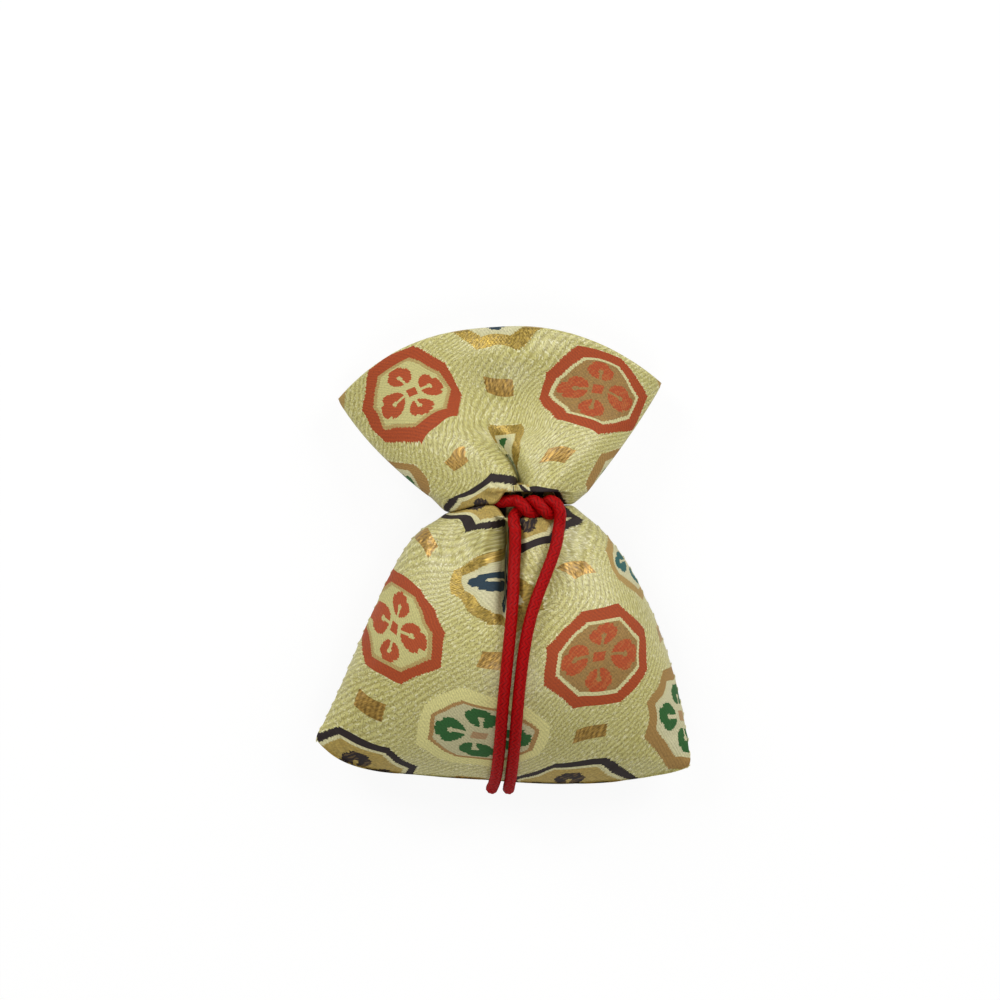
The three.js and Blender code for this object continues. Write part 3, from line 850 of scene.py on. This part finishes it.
# The medallions: colours of border, line, ground, flower and heart, then how much gilt thread is in the
# ground and in the border, from black for none to white
GREEN = ("94723a", "bbb68c", "bbb690", "1b551c", "a08058", "202020", "404040")
GREEN_PALE_EDGE = ("c9c280", "9a7642", "b3ad84", "1b551c", "a08058", "101010", "101010")
GREEN_GILT_EDGE = ("98803a", "c2bc8a", "bdb890", "19521a", "a08058", "202020", "e0e0e0")
RED_ON_GILT = ("963a06", "bdb784", "8a6a36", "9e4012", "9e4012", "909090", "000000")
RED_ON_STRAW = ("963a06", "a18c52", "b4ad70", "9e4012", "9e4012", "202020", "000000")
BLUE = ("98803a", "bbb68c", "bbb690", "102c3a", "a08a46", "101010", "e0e0e0")
TEAL = ("a08348", "bbb68c", "bbb690", "1f5652", "a08a46", "101010", "606060")
BLACK = ("1c0d0b", "c2bc8e", "a08a46", "1c0d0b", "1c0d0b", "a0a0a0", "000000")
# Two for each row of medallions, for every other column, from row 0 to row 7. Then they repeat.
MEDALLIONS = [
    GREEN_PALE_EDGE, GREEN, RED_ON_GILT, RED_ON_STRAW, BLUE, TEAL, BLACK, BLACK,
    GREEN_GILT_EDGE, GREEN, RED_ON_GILT, RED_ON_STRAW, BLUE, TEAL, BLACK, BLACK,
]


def lattice(tree, u_woven, v_woven, offset_u, offset_v):
    """One half of the staggered lattice: place in a medallion's cell, way out of it, dash and kind.
    The kind counts the rows by four and the columns by one."""
    u_moved = add(tree, MATH, u_woven, offset_u, operation="SUBTRACT")
    v_moved = add(tree, MATH, v_woven, offset_v, operation="SUBTRACT")
    column = add(tree, MATH, add(tree, MATH, u_moved, REPEAT_U, operation="DIVIDE"), operation="ROUND")
    row = add(tree, MATH, add(tree, MATH, v_moved, REPEAT_V, operation="DIVIDE"), operation="ROUND")
    u = add(tree, MATH, column, -REPEAT_U, u_moved, operation="MULTIPLY_ADD")
    u = add(tree, MATH, u, operation="ABSOLUTE")
    v = add(tree, MATH, row, -REPEAT_V, v_moved, operation="MULTIPLY_ADD")
    v = add(tree, MATH, v, operation="ABSOLUTE")
    # An octagon: within its side, its end and its slanted corner
    side = add(tree, MATH, u, MEDALLION_HALF_WIDTH, operation="SUBTRACT")
    end = add(tree, MATH, v, MEDALLION_HALF_HEIGHT, operation="SUBTRACT")
    slant = add(tree, MATH, v, 1 / SLANT_V, -1.0, operation="MULTIPLY_ADD")
    slant = add(tree, MATH, u, 1 / SLANT_U, slant, operation="MULTIPLY_ADD")
    slant = add(tree, MATH, slant, SLANT_WAY, operation="MULTIPLY")
    outside = add(tree, MATH, add(tree, MATH, side, end, operation="MAXIMUM"), slant, operation="MAXIMUM")
    # A dash lies half way between two medallions of a row
    across = add(tree, MATH, u, REPEAT_U / 2, operation="SUBTRACT")
    across = add(tree, MATH, across, operation="ABSOLUTE")
    across = add(tree, MATH, across, DASH_HALF_WIDTH, operation="LESS_THAN")
    dash = add(tree, MATH, v, DASH_HALF_HEIGHT, operation="LESS_THAN")
    dash = add(tree, MATH, dash, across, operation="MULTIPLY")
    kind = add(tree, MATH, add(tree, MATH, row, 4.0, operation="FLOORED_MODULO"), 4.0, operation="MULTIPLY")
    kind = add(tree, MATH, kind, add(tree, MATH, column, 2.0, operation="FLOORED_MODULO"), operation="ADD")
    return u, v, outside, dash, kind


def petal(tree, u, v, centre_u, centre_v, half_width, half_height):
    """1 inside an oval of the flower, and 0 outside."""
    du = add(tree, MATH, u, 1 / half_width, -centre_u / half_width, operation="MULTIPLY_ADD")
    dv = add(tree, MATH, v, 1 / half_height, -centre_v / half_height, operation="MULTIPLY_ADD")
    size = add(tree, MATH, dv, dv, operation="MULTIPLY")
    size = add(tree, MATH, du, du, size, operation="MULTIPLY_ADD")
    return add(tree, MATH, size, 1.0, operation="LESS_THAN")


def vein(tree, u, v, centre_u, centre_v, half_width, half_height):
    """1 inside an upright block of the flower, and 0 outside."""
    near_u = add(tree, MATH, u, centre_u, half_width, operation="COMPARE")
    near_v = add(tree, MATH, v, centre_v, half_height, operation="COMPARE")
    return add(tree, MATH, near_u, near_v, operation="MULTIPLY")


def brocade():
    """Silk brocade: a pale satin ground with a diagonal twill, and medallions in matt coloured floats and
    in gilt thread, whose flat strips glint one by one."""
    material, tree, surface = new_material("silk_brocade")
    flat = add(tree, "ShaderNodeUVMap", uv_map="cloth")
    threads = add(tree, "ShaderNodeSeparateXYZ", flat)
    u_true, v_true = threads.outputs[0], threads.outputs[1]

    # Threads wander a little, and a colour can only change from one thread to the next
    wander = add(tree, NOISE, flat, None, 0.25, 0.0, 0.5)
    shift = add(tree, "ShaderNodeVectorMath", wander.outputs[1], (0.5, 0.5, 0.5), operation="SUBTRACT")
    shift = add(tree, "ShaderNodeVectorMath", shift, (THREAD_WANDER,) * 3, flat, operation="MULTIPLY_ADD")
    woven = add(tree, "ShaderNodeSeparateXYZ", shift)
    teeth = add(tree, MATH, v_true, EDGE_TOOTH, operation="PINGPONG")
    u_woven = add(tree, MATH, teeth, 0.5, woven.outputs[0], operation="MULTIPLY_ADD")
    u_woven = add(tree, MATH, u_woven, THREAD_STEP_U, operation="SNAP")
    v_woven = add(tree, MATH, woven.outputs[1], THREAD_STEP_V, operation="SNAP")

    even = lattice(tree, u_woven, v_woven, 0.0, 0.0)
    odd = lattice(tree, u_woven, v_woven, REPEAT_U / 2, REPEAT_V / 2)
    pick = add(tree, MATH, even[2], odd[2], operation="LESS_THAN")
    u = add(tree, "ShaderNodeMix", pick, None, odd[0], even[0])
    v = add(tree, "ShaderNodeMix", pick, None, odd[1], even[1])
    outside = add(tree, "ShaderNodeMix", pick, None, odd[2], even[2])
    odd_kind = add(tree, MATH, odd[4], 2.0, operation="ADD")
    kind = add(tree, "ShaderNodeMix", pick, None, odd_kind, even[4])
    key = add(tree, MATH, kind, 1 / len(MEDALLIONS), 0.5 / len(MEDALLIONS), operation="MULTIPLY_ADD")
    by_kind = []
    for colours in zip(*MEDALLIONS):
        ramp = add(tree, "ShaderNodeValToRGB", key)
        ramp_steps(ramp, colours)
        by_kind.append(ramp)
    *layer_colours, gilt_ground, gilt_border = by_kind

    # The narrow band just outside each medallion, where the painted highlight goes
    in_highlight_rim = add(tree, MATH, outside, 0.3, operation="LESS_THAN")
    in_medallion = add(tree, MATH, outside, 0.0, operation="LESS_THAN")
    # Rows 3 and 7 have a narrow black border
    black = add(tree, MATH, add(tree, MATH, kind, 8.0, operation="MODULO"), 5.5, operation="GREATER_THAN")
    inwards = add(tree, MATH, black, BLACK_BORDER - BORDER, outside, operation="MULTIPLY_ADD")
    in_line = add(tree, MATH, inwards, -BORDER, operation="LESS_THAN")
    in_ground = add(tree, MATH, inwards, -BORDER - LINE, operation="LESS_THAN")

    # Flower of four petals with veins and a heart. The petals at the sides are the larger ones.
    side_petal = petal(tree, u, v, *SIDE_PETAL)
    end_petal = petal(tree, u, v, *END_PETAL)
    petals = add(tree, MATH, side_petal, end_petal, operation="MAXIMUM")
    side_vein = vein(tree, u, v, *SIDE_VEIN)
    end_vein = vein(tree, u, v, *END_VEIN)
    veins = add(tree, MATH, side_vein, end_vein, operation="MAXIMUM")
    for tip in VEIN_TIPS:
        veins = add(tree, MATH, veins, petal(tree, u, v, *tip), operation="MAXIMUM")
    bare = add(tree, MATH, 1.0, veins, operation="SUBTRACT")
    flower = add(tree, MATH, petals, bare, operation="MULTIPLY")
    heart = vein(tree, u, v, *HEART)

    # Satin ground: twill lines broken into short strokes, with light and dark threads among them
    across_twill = add(tree, MATH, u_true, v_true, operation="SUBTRACT")
    across_twill = add(tree, MATH, across_twill, TWILL_SLOPE, operation="MULTIPLY")
    along_twill = add(tree, MATH, u_true, v_true, operation="ADD")
    along_twill = add(tree, MATH, along_twill, TWILL_SLOPE, operation="MULTIPLY")
    stretched = add(tree, MATH, across_twill, 3.0, operation="MULTIPLY")
    stretched = add(tree, "ShaderNodeCombineXYZ", stretched, along_twill)
    strokes = add(tree, NOISE, stretched, None, 1.5, 1.0, 0.6)
    grain = add(tree, "ShaderNodeCombineXYZ", add(tree, MATH, u_true, 1.5, operation="MULTIPLY"), v_true)
    grain = add(tree, NOISE, grain, None, 3.4, 0.0, 0.5)
    patches = add(tree, NOISE, flat, None, 0.12, 1.0, 0.5)
    twill = add(tree, MATH, across_twill, 2 * math.pi / TWILL, operation="MULTIPLY")
    twill = add(tree, MATH, strokes, 1.3, twill, operation="MULTIPLY_ADD")
    twill = add(tree, MATH, twill, operation="SINE")
    depth = add(tree, "ShaderNodeMapRange", patches, 0.35, 0.65, 0.25, 0.55)
    line = add(tree, MATH, twill, depth, 0.55, operation="MULTIPLY_ADD")
    satin = add(tree, BLEND, line, linear(SATIN_DEEP), linear(SATIN))
    patch = add(tree, "ShaderNodeMapRange", patches, 0.42, 0.62, 0.0, 0.35)
    satin = add(tree, BLEND, patch, satin, linear(SATIN_PATCH))
    light = add(tree, "ShaderNodeMapRange", strokes, 0.52, 0.7, 0.0, 0.6)
    satin = add(tree, BLEND, light, satin, linear(SATIN_LIGHT))
    dark = add(tree, "ShaderNodeMapRange", grain, 0.48, 0.3, 0.0, 0.7)
    satin = add(tree, BLEND, dark, satin, linear(SATIN_DARK))
    # Painted highlight: a pale line of satin along the medallions' outer edge, where the light strokes fall
    rim_highlight = add(tree, MATH, in_highlight_rim, light, operation="MULTIPLY")
    satin = add(tree, BLEND, rim_highlight, satin, linear(SATIN_RIM_HIGHLIGHT))

    plain = add(tree, MATH, 1.0, in_medallion, operation="SUBTRACT")
    dashes = add(tree, MATH, even[3], odd[3], operation="MAXIMUM")
    dashes = add(tree, MATH, dashes, plain, operation="MULTIPLY")
    ribs = add(tree, MATH, u_true, 2 * math.pi / GILT_RIB_SPACING, operation="MULTIPLY")
    ribs = add(tree, MATH, ribs, operation="SINE")
    ribs = add(tree, MATH, ribs, 0.3, strokes, operation="MULTIPLY_ADD")
    gilt = add(tree, BLEND, ribs, linear(GILT_DEEP), linear(GILT_LIGHT))

    colour = add(tree, BLEND, dashes, satin, gilt)
    for share, layer_colour in zip((in_medallion, in_line, in_ground, flower, heart), layer_colours):
        colour = add(tree, BLEND, share, colour, layer_colour)

    # Loose gilt threads lie over the flowers that stand on a gilt ground
    flakes = add(tree, "ShaderNodeTexVoronoi", stretched, None, 1.2)
    specks = add(tree, "ShaderNodeMapRange", flakes.outputs[1], 0.6, 0.68, 0.0, 0.42)
    in_gilt = add(tree, MATH, in_ground, gilt_ground, operation="MULTIPLY")
    specks = add(tree, MATH, specks, in_gilt, operation="MULTIPLY")
    colour = add(tree, BLEND, specks, colour, linear(GILT_SPECK))

    # The coloured floats are darker between threads
    floats = add(tree, MATH, along_twill, 2 * math.pi / FLOAT_SPACING, operation="MULTIPLY")
    floats = add(tree, MATH, floats, operation="SINE")
    shade = add(tree, MATH, floats, 0.08, 0.65, operation="MULTIPLY_ADD")
    shade = add(tree, MATH, grain, 0.6, shade, operation="MULTIPLY_ADD")
    shade = add(tree, "ShaderNodeMix", in_medallion, None, 1.0, shade)

    # Gilt thread: light and dark strips, which shine in flakes
    inner = add(tree, MATH, 1.0, flower, operation="SUBTRACT")
    inner = add(tree, MATH, inner, in_gilt, operation="MULTIPLY")
    border = add(tree, MATH, in_medallion, in_line, operation="SUBTRACT")
    border = add(tree, MATH, border, gilt_border, operation="MULTIPLY")
    gold = add(tree, MATH, inner, border, operation="MAXIMUM")
    half_gilt = add(tree, MATH, dashes, 0.5, operation="MULTIPLY")
    gold = add(tree, MATH, gold, half_gilt, operation="MAXIMUM")
    strips = add(tree, "ShaderNodeMapRange", strokes, 0.36, 0.64, 0.5, 1.5)
    shade = add(tree, "ShaderNodeMix", gold, None, shade, strips)
    tone = add(tree, "ShaderNodeHueSaturation", None, None, shade, None, colour)
    feed(surface, "Base Color", tone)
    flake = add(tree, "ShaderNodeMapRange", flakes.outputs[1], 0.2, 0.8, 0.3, 1.0)
    shine = add(tree, MATH, gold, flake, operation="MULTIPLY")
    feed(surface, "Metallic", shine)
    rough = add(tree, "ShaderNodeMix", in_medallion, None, 0.38, 0.75)
    rough = add(tree, "ShaderNodeMix", gold, None, rough, 0.34)
    feed(surface, "Roughness", rough)

    # Relief: twill ridges and strokes on the ground, floats a little over it, flakes in the gilt
    height = add(tree, MATH, twill, 0.35, operation="MULTIPLY")
    height = add(tree, MATH, strokes, 1.4, height, operation="MULTIPLY_ADD")
    height = add(tree, MATH, grain, 0.9, height, operation="MULTIPLY_ADD")
    raised = add(tree, MATH, floats, 0.3, 1.6, operation="MULTIPLY_ADD")
    height = add(tree, "ShaderNodeMix", in_medallion, None, height, raised)
    glint = add(tree, MATH, flakes.outputs[0], gold, operation="MULTIPLY")
    height = add(tree, MATH, glint, 1.6, height, operation="MULTIPLY_ADD")
    relief = add(tree, "ShaderNodeBump")
    feed(relief, "Strength", 0.42)
    feed(relief, "Distance", 0.05 * MM)
    feed(relief, "Height", height)
    feed(surface, "Normal", relief)
    feed(surface, "Specular IOR Level", 0.45)
    return material


# The deep braid colour is painted shade between the strands; the top colour is the cord's own red
BRAID_PAINTED_SHADE = "2e0203"
BRAID_TOP = "980305"
# Painted shade and painted highlight, in bands along the sewing thread's twist
SEWING_TWIST_SHADE = "a89f66"
SEWING_TWIST_HIGHLIGHT = "d8d2a6"
# Scale of the sewing thread's twist, which gives a turn in every 0.14 mm
SEWING_TWIST = 2600.0


def braid_material():
    """Braided silk cord: satin strands of one red, with painted shade where they dive under, so they look
    lighter where they rise.
    """
    material, tree, surface = new_material("braided_silk")
    flat = add(tree, "ShaderNodeUVMap", uv_map="braid")
    # The braid's rise picks the colour: painted shade between the strands, the cord's red on top
    height = add(tree, "ShaderNodeAttribute", attribute_name="rise")
    stretched = add(tree, "ShaderNodeMapping", flat, None, None, (9.0, 2.0, 1.0))
    fibres = add(tree, NOISE, stretched, None, 2.0, 2.0, 0.6)
    colour = add(tree, "ShaderNodeValToRGB", height.outputs[2])
    ramp = colour.color_ramp
    ramp.elements[0].color = linear(BRAID_PAINTED_SHADE)
    ramp.elements[0].position = 0.05
    ramp.elements[1].color = linear(BRAID_TOP)
    ramp.elements[1].position = 0.75
    tone = add(tree, "ShaderNodeHueSaturation")
    value = add(tree, "ShaderNodeMapRange", fibres, 0.3, 0.7, 0.8, 1.2)
    feed(tone, "Value", value)
    feed(tone, "Color", colour)
    feed(surface, "Base Color", tone)
    relief = add(tree, "ShaderNodeBump")
    feed(relief, "Strength", 0.4)
    feed(relief, "Distance", 0.03 * MM)
    feed(relief, "Height", fibres)
    feed(surface, "Normal", relief)
    feed(surface, "Roughness", 0.5)
    feed(surface, "Specular IOR Level", 0.08)
    return material


def thread_material():
    """Sewing silk: twisted thread, paler and smoother than the cloth, with a soft shine, and bands of painted
    shade and painted highlight along its twist.
    """
    material, tree, surface = new_material("sewing_silk")
    place = add(tree, "ShaderNodeTexCoord")
    twist = add(tree, "ShaderNodeTexWave", place.outputs["Object"], SEWING_TWIST, 1.5,
                bands_direction="DIAGONAL")
    # The twist's bands go between painted shade and painted highlight
    colour = add(tree, BLEND, twist.outputs[1], linear(SEWING_TWIST_SHADE), linear(SEWING_TWIST_HIGHLIGHT))
    feed(surface, "Base Color", colour)
    feed(surface, "Roughness", 0.45)
    return material


# Stitches

def stitch_tree(thread):
    """Slip stitches along a line: short rounded strands of thread, each a little aslant."""
    tree = bpy.data.node_groups.new("slip_stitches", "GeometryNodeTree")
    tree.interface.new_socket("Line", in_out="INPUT", socket_type="NodeSocketGeometry")
    sizes = {"Spacing": SEAM_SPACING, "Stitch length": STITCH_LENGTH, "Thread": STITCH_THREAD}
    for name, size in sizes.items():
        socket = tree.interface.new_socket(name, in_out="INPUT", socket_type="NodeSocketFloat")
        socket.default_value = size * MM
    tree.interface.new_socket("Stitches", in_out="OUTPUT", socket_type="NodeSocketGeometry")
    given = add(tree, "NodeGroupInput")
    line = add(tree, "GeometryNodeMeshToCurve", given.outputs["Line"])
    points = add(tree, "GeometryNodeCurveToPoints", mode="LENGTH")
    feed(points, "Curve", line)
    feed(points, "Length", given.outputs["Spacing"])
    size = add(tree, "ShaderNodeCombineXYZ", given.outputs["Thread"], given.outputs["Thread"],
               given.outputs["Stitch length"])
    strand = add(tree, "GeometryNodeTransform")
    feed(strand, "Scale", size)
    ball = add(tree, "GeometryNodeMeshUVSphere", 10, 8, 0.5)
    feed(strand, "Geometry", ball)
    aslant = add(tree, "FunctionNodeRandomValue", data_type="FLOAT")
    feed(aslant, 2, 0.1)
    feed(aslant, 3, 0.3)
    feed(aslant, "Seed", 4)
    lean = add(tree, "ShaderNodeCombineXYZ", aslant.outputs[1], aslant.outputs[1], 0.0)
    turned = add(tree, "FunctionNodeRotateEuler", points.outputs["Rotation"], lean, rotation_type="EULER",
                 space="LOCAL")
    copies = add(tree, "GeometryNodeInstanceOnPoints")
    feed(copies, "Points", points.outputs["Points"])
    feed(copies, "Instance", strand)
    feed(copies, "Rotation", turned)
    real = add(tree, "GeometryNodeRealizeInstances", copies)
    finished = add(tree, "GeometryNodeSetMaterial", real)
    feed(finished, "Material", thread)
    result = add(tree, "NodeGroupOutput")
    feed(result, 0, finished)
    return tree


def sew(name, line, closed, tree, spacing):
    """Turns a line of points in mm into a plain mesh of stitches."""
    edges = [(i, i + 1) for i in range(len(line) - 1)]
    if closed:
        edges.append((len(line) - 1, 0))
    path = bpy.data.meshes.new(name + "_line")
    path.from_pydata(np.array(line) * MM, edges, [])
    piece = placed(name, path)
    maker = piece.modifiers.new("stitches", "NODES")
    maker.node_group = tree
    for item in tree.interface.items_tree:
        if item.item_type == "SOCKET" and item.in_out == "INPUT" and item.name == "Spacing":
            maker[item.identifier] = spacing * MM
    made = bpy.data.meshes.new_from_object(piece.evaluated_get(bpy.context.evaluated_depsgraph_get()))
    piece.modifiers.remove(maker)
    piece.data = made
    shade_smooth(piece)
    return piece


# Cord

STRANDS = 8
# Length in mm in which a strand goes once round the cord, and how deep the braid dips between strands
BRAID_LEAD = 6.2
BRAID_DEPTH = 0.11
CORD_SIDES = 40
RING_STEP = 0.13
END_ROUNDING = 0.35


def between(t, start, end, a, b):
    """Blend that is a where t is at the start and b where it is at the end."""
    return (end - t) / (end - start) * a + (t - start) / (end - start) * b


def through_points(points, step):
    """Even steps along a smooth centripetal curve through the points."""
    points = np.array(points, float)
    padded = np.concatenate([[2 * points[0] - points[1]], points, [2 * points[-1] - points[-2]]])
    fine = []
    for i in range(len(points) - 1):
        near = padded[i:i + 4]
        knots = np.concatenate([[0], np.cumsum(np.linalg.norm(np.diff(near, axis=0), axis=1) ** 0.5)])
        t = np.linspace(knots[1], knots[2], 30, endpoint=False)[:, None]
        a1, a2, a3 = (between(t, knots[k], knots[k + 1], near[k], near[k + 1]) for k in range(3))
        b1 = between(t, knots[0], knots[2], a1, a2)
        b2 = between(t, knots[1], knots[3], a2, a3)
        fine.append(between(t, knots[1], knots[2], b1, b2))
    fine = np.concatenate(fine + [points[-1:]])
    run = np.concatenate([[0], np.cumsum(np.linalg.norm(np.diff(fine, axis=0), axis=1))])
    places = np.linspace(0, run[-1], max(2, int(round(run[-1] / step)) + 1))
    return np.stack([np.interp(places, run, fine[:, k]) for k in range(3)], axis=1), places


def steady_frames(line):
    """Directions across the line that turn with it and don't twist."""
    tangents = np.gradient(line, axis=0)
    tangents /= np.linalg.norm(tangents, axis=1)[:, None]
    normal = np.cross(tangents[0], (0.3, 0.1, 1.0))
    normals = []
    for tangent in tangents:
        normal = normal - tangent * np.dot(normal, tangent)
        normal = normal / np.linalg.norm(normal)
        normals.append(normal)
    normals = np.array(normals)
    return normals, np.cross(tangents, normals)


def braid_rise(turn, length):
    """Height of a round braid, 0 between strands to 1 on top, by the share of a turn and the length in mm."""
    left = STRANDS * (turn + length / BRAID_LEAD)
    right = STRANDS * (-turn + length / BRAID_LEAD)
    cell_left = np.floor(left)
    cell_right = np.floor(right)
    left_over = (np.floor((cell_left + cell_right) / 2) % 2) == 0
    across = np.where(left_over, left - cell_left, right - cell_right)
    return np.sin(np.pi * across) ** 0.7


def braided_cord(name, points, cut_end):
    """A round braid along the points. Gives back the piece, and its path and its length in metres."""
    line, length = through_points(points, RING_STEP)
    normals, binormals = steady_frames(line)
    turn = np.arange(CORD_SIDES) / CORD_SIDES
    rise = braid_rise(turn[None, :], length[:, None])
    radius = CORD_RADIUS - BRAID_DEPTH * (1 - rise)
    if cut_end:
        to_end = np.clip((length[-1] - length) / END_ROUNDING, 0, 1)
        radius = radius * np.sqrt(np.clip(1 - (1 - to_end) ** 2, 0.2, 1))[:, None]
    out = normals[:, None] * np.cos(2 * np.pi * turn)[None, :, None]
    out = out + binormals[:, None] * np.sin(2 * np.pi * turn)[None, :, None]
    rings = line[:, None] + out * radius[:, :, None]

    # Each end is closed by a fan of faces round a point of its own
    count = len(line)
    faces = faces_between(count, CORD_SIDES).tolist()
    vertices = np.concatenate([rings.reshape(-1, 3), line[:1], line[-1:]])
    last = (count - 1) * CORD_SIDES
    for j in range(CORD_SIDES):
        k = (j + 1) % CORD_SIDES
        faces.append([k, j, count * CORD_SIDES])
        faces.append([last + j, last + k, count * CORD_SIDES + 1])
    mesh = bpy.data.meshes.new(name)
    mesh.from_pydata(vertices * MM, [], faces)
    # The rise also drives the braid's painted shade; the points that close the ends get a low rise, which
    # shades them darker
    attribute = mesh.attributes.new("rise", "FLOAT", "POINT")
    attribute.data.foreach_set("value", np.concatenate([rise.ravel(), [0.2, 0.2]]))
    layer = mesh.uv_layers.new(name="braid")
    uv = np.zeros((len(mesh.loops), 2))
    vertex = np.zeros(len(mesh.loops), dtype=int)
    mesh.loops.foreach_get("vertex_index", vertex)
    uv[:, 0] = (vertex % CORD_SIDES) / CORD_SIDES * math.pi * CORD_DIAMETER
    uv[:, 1] = length[np.minimum(vertex // CORD_SIDES, count - 1)]
    layer.data.foreach_set("uv", uv.ravel())
    piece = placed(name, mesh)
    shade_smooth(piece)
    return piece, line * MM, float(length[-1]) * MM


def joined(tail):
    """A point just inside the start of a tail, where the held cord runs on into it."""
    return tuple(mix(tail[0][k], tail[1][k], 0.35) for k in range(3))


def held_cord_points():
    """The cord from the left tail over the knot, round the neck, over the knot and to the right tail."""
    strand = CORD_RADIUS + KNOT_GAP / 2
    loop_width = GROOVE_HALF_WIDTH + CORD_RADIUS + CORD_CLEARANCE
    loop_depth = GROOVE_HALF_DEPTH + CORD_RADIUS + CORD_CLEARANCE
    knot_z = NECK_Z + loop_depth * math.sqrt(1 - ((KNOT_X - NECK_X) / loop_width) ** 2) + KNOT_LIFT
    half = KNOT_HALF_LENGTH

    def knot(along, up, out):
        return (KNOT_X + along, NECK_Y + KNOT_DROP + up, knot_z + out)

    def twist(start):
        points = []
        for i in range(9):
            angle = math.radians(start + 45 * i)
            points.append(knot(mix(-half, half, i / 8), strand * math.cos(angle), strand * math.sin(angle)))
        return points

    loop = []
    for degrees in range(18, -241, -20):
        angle = math.radians(degrees)
        loop.append((NECK_X + loop_width * math.cos(angle), NECK_Y, NECK_Z + loop_depth * math.sin(angle)))
    return [
        joined(LEFT_TAIL), LEFT_TAIL[0], knot(-half - 0.35, -1.9, 0.8), *twist(180),
        knot(half + 0.75, -0.75, -1.1), *loop, knot(-half - 1.1, 1.0, -0.6), *twist(0),
        knot(half + 0.95, 0.5, 0.55), knot(half + 1.5, -0.75, 0.95),
        knot(half + 1.45, -2.2, 0.9), RIGHT_TAIL[0], joined(RIGHT_TAIL),
    ]


# Camera and light

# The view is this wide at this height over the table, through a long lens straight above
FRAME_WIDTH = 157.5 * MM
FRAME_HEIGHT = 8 * MM
SENSOR_WIDTH = 36
LENS = 180
CAMERA_X = -0.47 * MM
CAMERA_Y = 8.66 * MM
# Each light: name, place in metres, width of its disk, watts
LIGHTS = [
    ("key_left", (-0.34, 0.36, 0.32), 0.3, 2.05),
    ("key_right", (0.36, 0.3, 0.32), 0.3, 1.9),
    ("fill_low", (0.0, -0.3, 0.55), 0.4, 1.5),
]
LIGHT_TARGET = (0, 0, 0.01)
FILL_STRENGTH = 0.26
TABLE_REACH = 1.5
TABLE_DROP = 0.0002


def make_camera():
    """A long lens straight above the pouch."""
    data = bpy.data.cameras.new("camera")
    camera = placed("camera", data)
    data.sensor_width = SENSOR_WIDTH
    data.lens = LENS
    data.clip_start = 0.01
    data.clip_end = 20
    camera.location = (CAMERA_X, CAMERA_Y, FRAME_HEIGHT + FRAME_WIDTH * LENS / SENSOR_WIDTH)
    bpy.context.scene.camera = camera


def make_light(name, place, size, power):
    """A round lamp that is aimed at the pouch."""
    data = bpy.data.lights.new(name, "AREA")
    data.shape = "DISK"
    data.size = size
    data.energy = power
    lamp = placed(name, data)
    lamp.location = place
    lamp.rotation_euler = (Vector(LIGHT_TARGET) - lamp.location).to_track_quat("-Z", "Y").to_euler()


def make_studio():
    """A white world that lights the pouch softly, three lamps, and a table of white paper."""
    scene = bpy.context.scene
    scene.view_settings.view_transform = "Standard"
    scene.world = bpy.data.worlds.new("studio")
    tree = emptied(scene.world)
    path = add(tree, "ShaderNodeLightPath")
    fill = add(tree, "ShaderNodeBackground", (1, 1, 1, 1), FILL_STRENGTH)
    white = add(tree, "ShaderNodeBackground", (1, 1, 1, 1), 1.0)
    both = add(tree, "ShaderNodeMixShader", path.outputs[0], fill, white)
    add(tree, "ShaderNodeOutputWorld", both)
    for light in LIGHTS:
        make_light(*light)

    mesh = bpy.data.meshes.new("table")
    reach = TABLE_REACH
    corners = [(-reach, -reach, 0), (reach, -reach, 0), (reach, reach, 0), (-reach, reach, 0)]
    mesh.from_pydata(corners, [], [(0, 1, 2, 3)])
    table = placed("table", mesh)
    table.location.z = -TABLE_DROP
    # Paper that keeps the pouch's shadow, and looks white to the camera
    material = bpy.data.materials.new("white_paper")
    tree = emptied(material)
    path = add(tree, "ShaderNodeLightPath")
    paper = add(tree, "ShaderNodeBsdfDiffuse", linear("f2f2f0"))
    glow = add(tree, "ShaderNodeEmission", (1, 1, 1, 1), 1.0)
    seen = add(tree, MATH, path, 0.9, operation="MULTIPLY")
    both = add(tree, "ShaderNodeMixShader", seen, paper, glow)
    add(tree, "ShaderNodeOutputMaterial", both)
    mesh.materials.append(material)


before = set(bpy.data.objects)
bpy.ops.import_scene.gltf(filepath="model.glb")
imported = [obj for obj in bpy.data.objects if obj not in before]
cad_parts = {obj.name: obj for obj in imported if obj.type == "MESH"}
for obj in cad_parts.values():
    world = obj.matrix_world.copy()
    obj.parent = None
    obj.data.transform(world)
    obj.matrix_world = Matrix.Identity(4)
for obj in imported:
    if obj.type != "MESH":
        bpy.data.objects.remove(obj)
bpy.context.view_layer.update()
make_camera()
make_studio()

silk = braid_material()
left_tail, left_path, left_length = braided_cord("left_cord_tail", LEFT_TAIL, cut_end=True)
right_tail, right_path, right_length = braided_cord("right_cord_tail", RIGHT_TAIL, cut_end=True)
held = braided_cord("tied_cord", held_cord_points(), cut_end=False)[0]
for piece in (left_tail, right_tail, held):
    piece.data.materials.append(silk)
    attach(piece, "root")
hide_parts("left_tail")
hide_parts("right_tail")
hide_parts("neck_cord")

bag_mesh, sewn_lines = cloth_mesh("brocade_bag")
pouch = placed("brocade_bag", bag_mesh)
# The front and the back share the points of the bottom fold
mesh_edit = bmesh.new()
mesh_edit.from_mesh(pouch.data)
bmesh.ops.remove_doubles(mesh_edit, verts=mesh_edit.verts, dist=1e-7)
mesh_edit.to_mesh(pouch.data)
mesh_edit.free()
shade_smooth(pouch)
pouch.data.materials.append(brocade())
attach(pouch, "root")
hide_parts("brocade_pouch")

stitches = stitch_tree(thread_material())
for name, line in sewn_lines.items():
    is_hem = name == "hem_stitches"
    piece = sew(name, line, is_hem, stitches, HEM_SPACING if is_hem else SEAM_SPACING)
    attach(piece, "root")
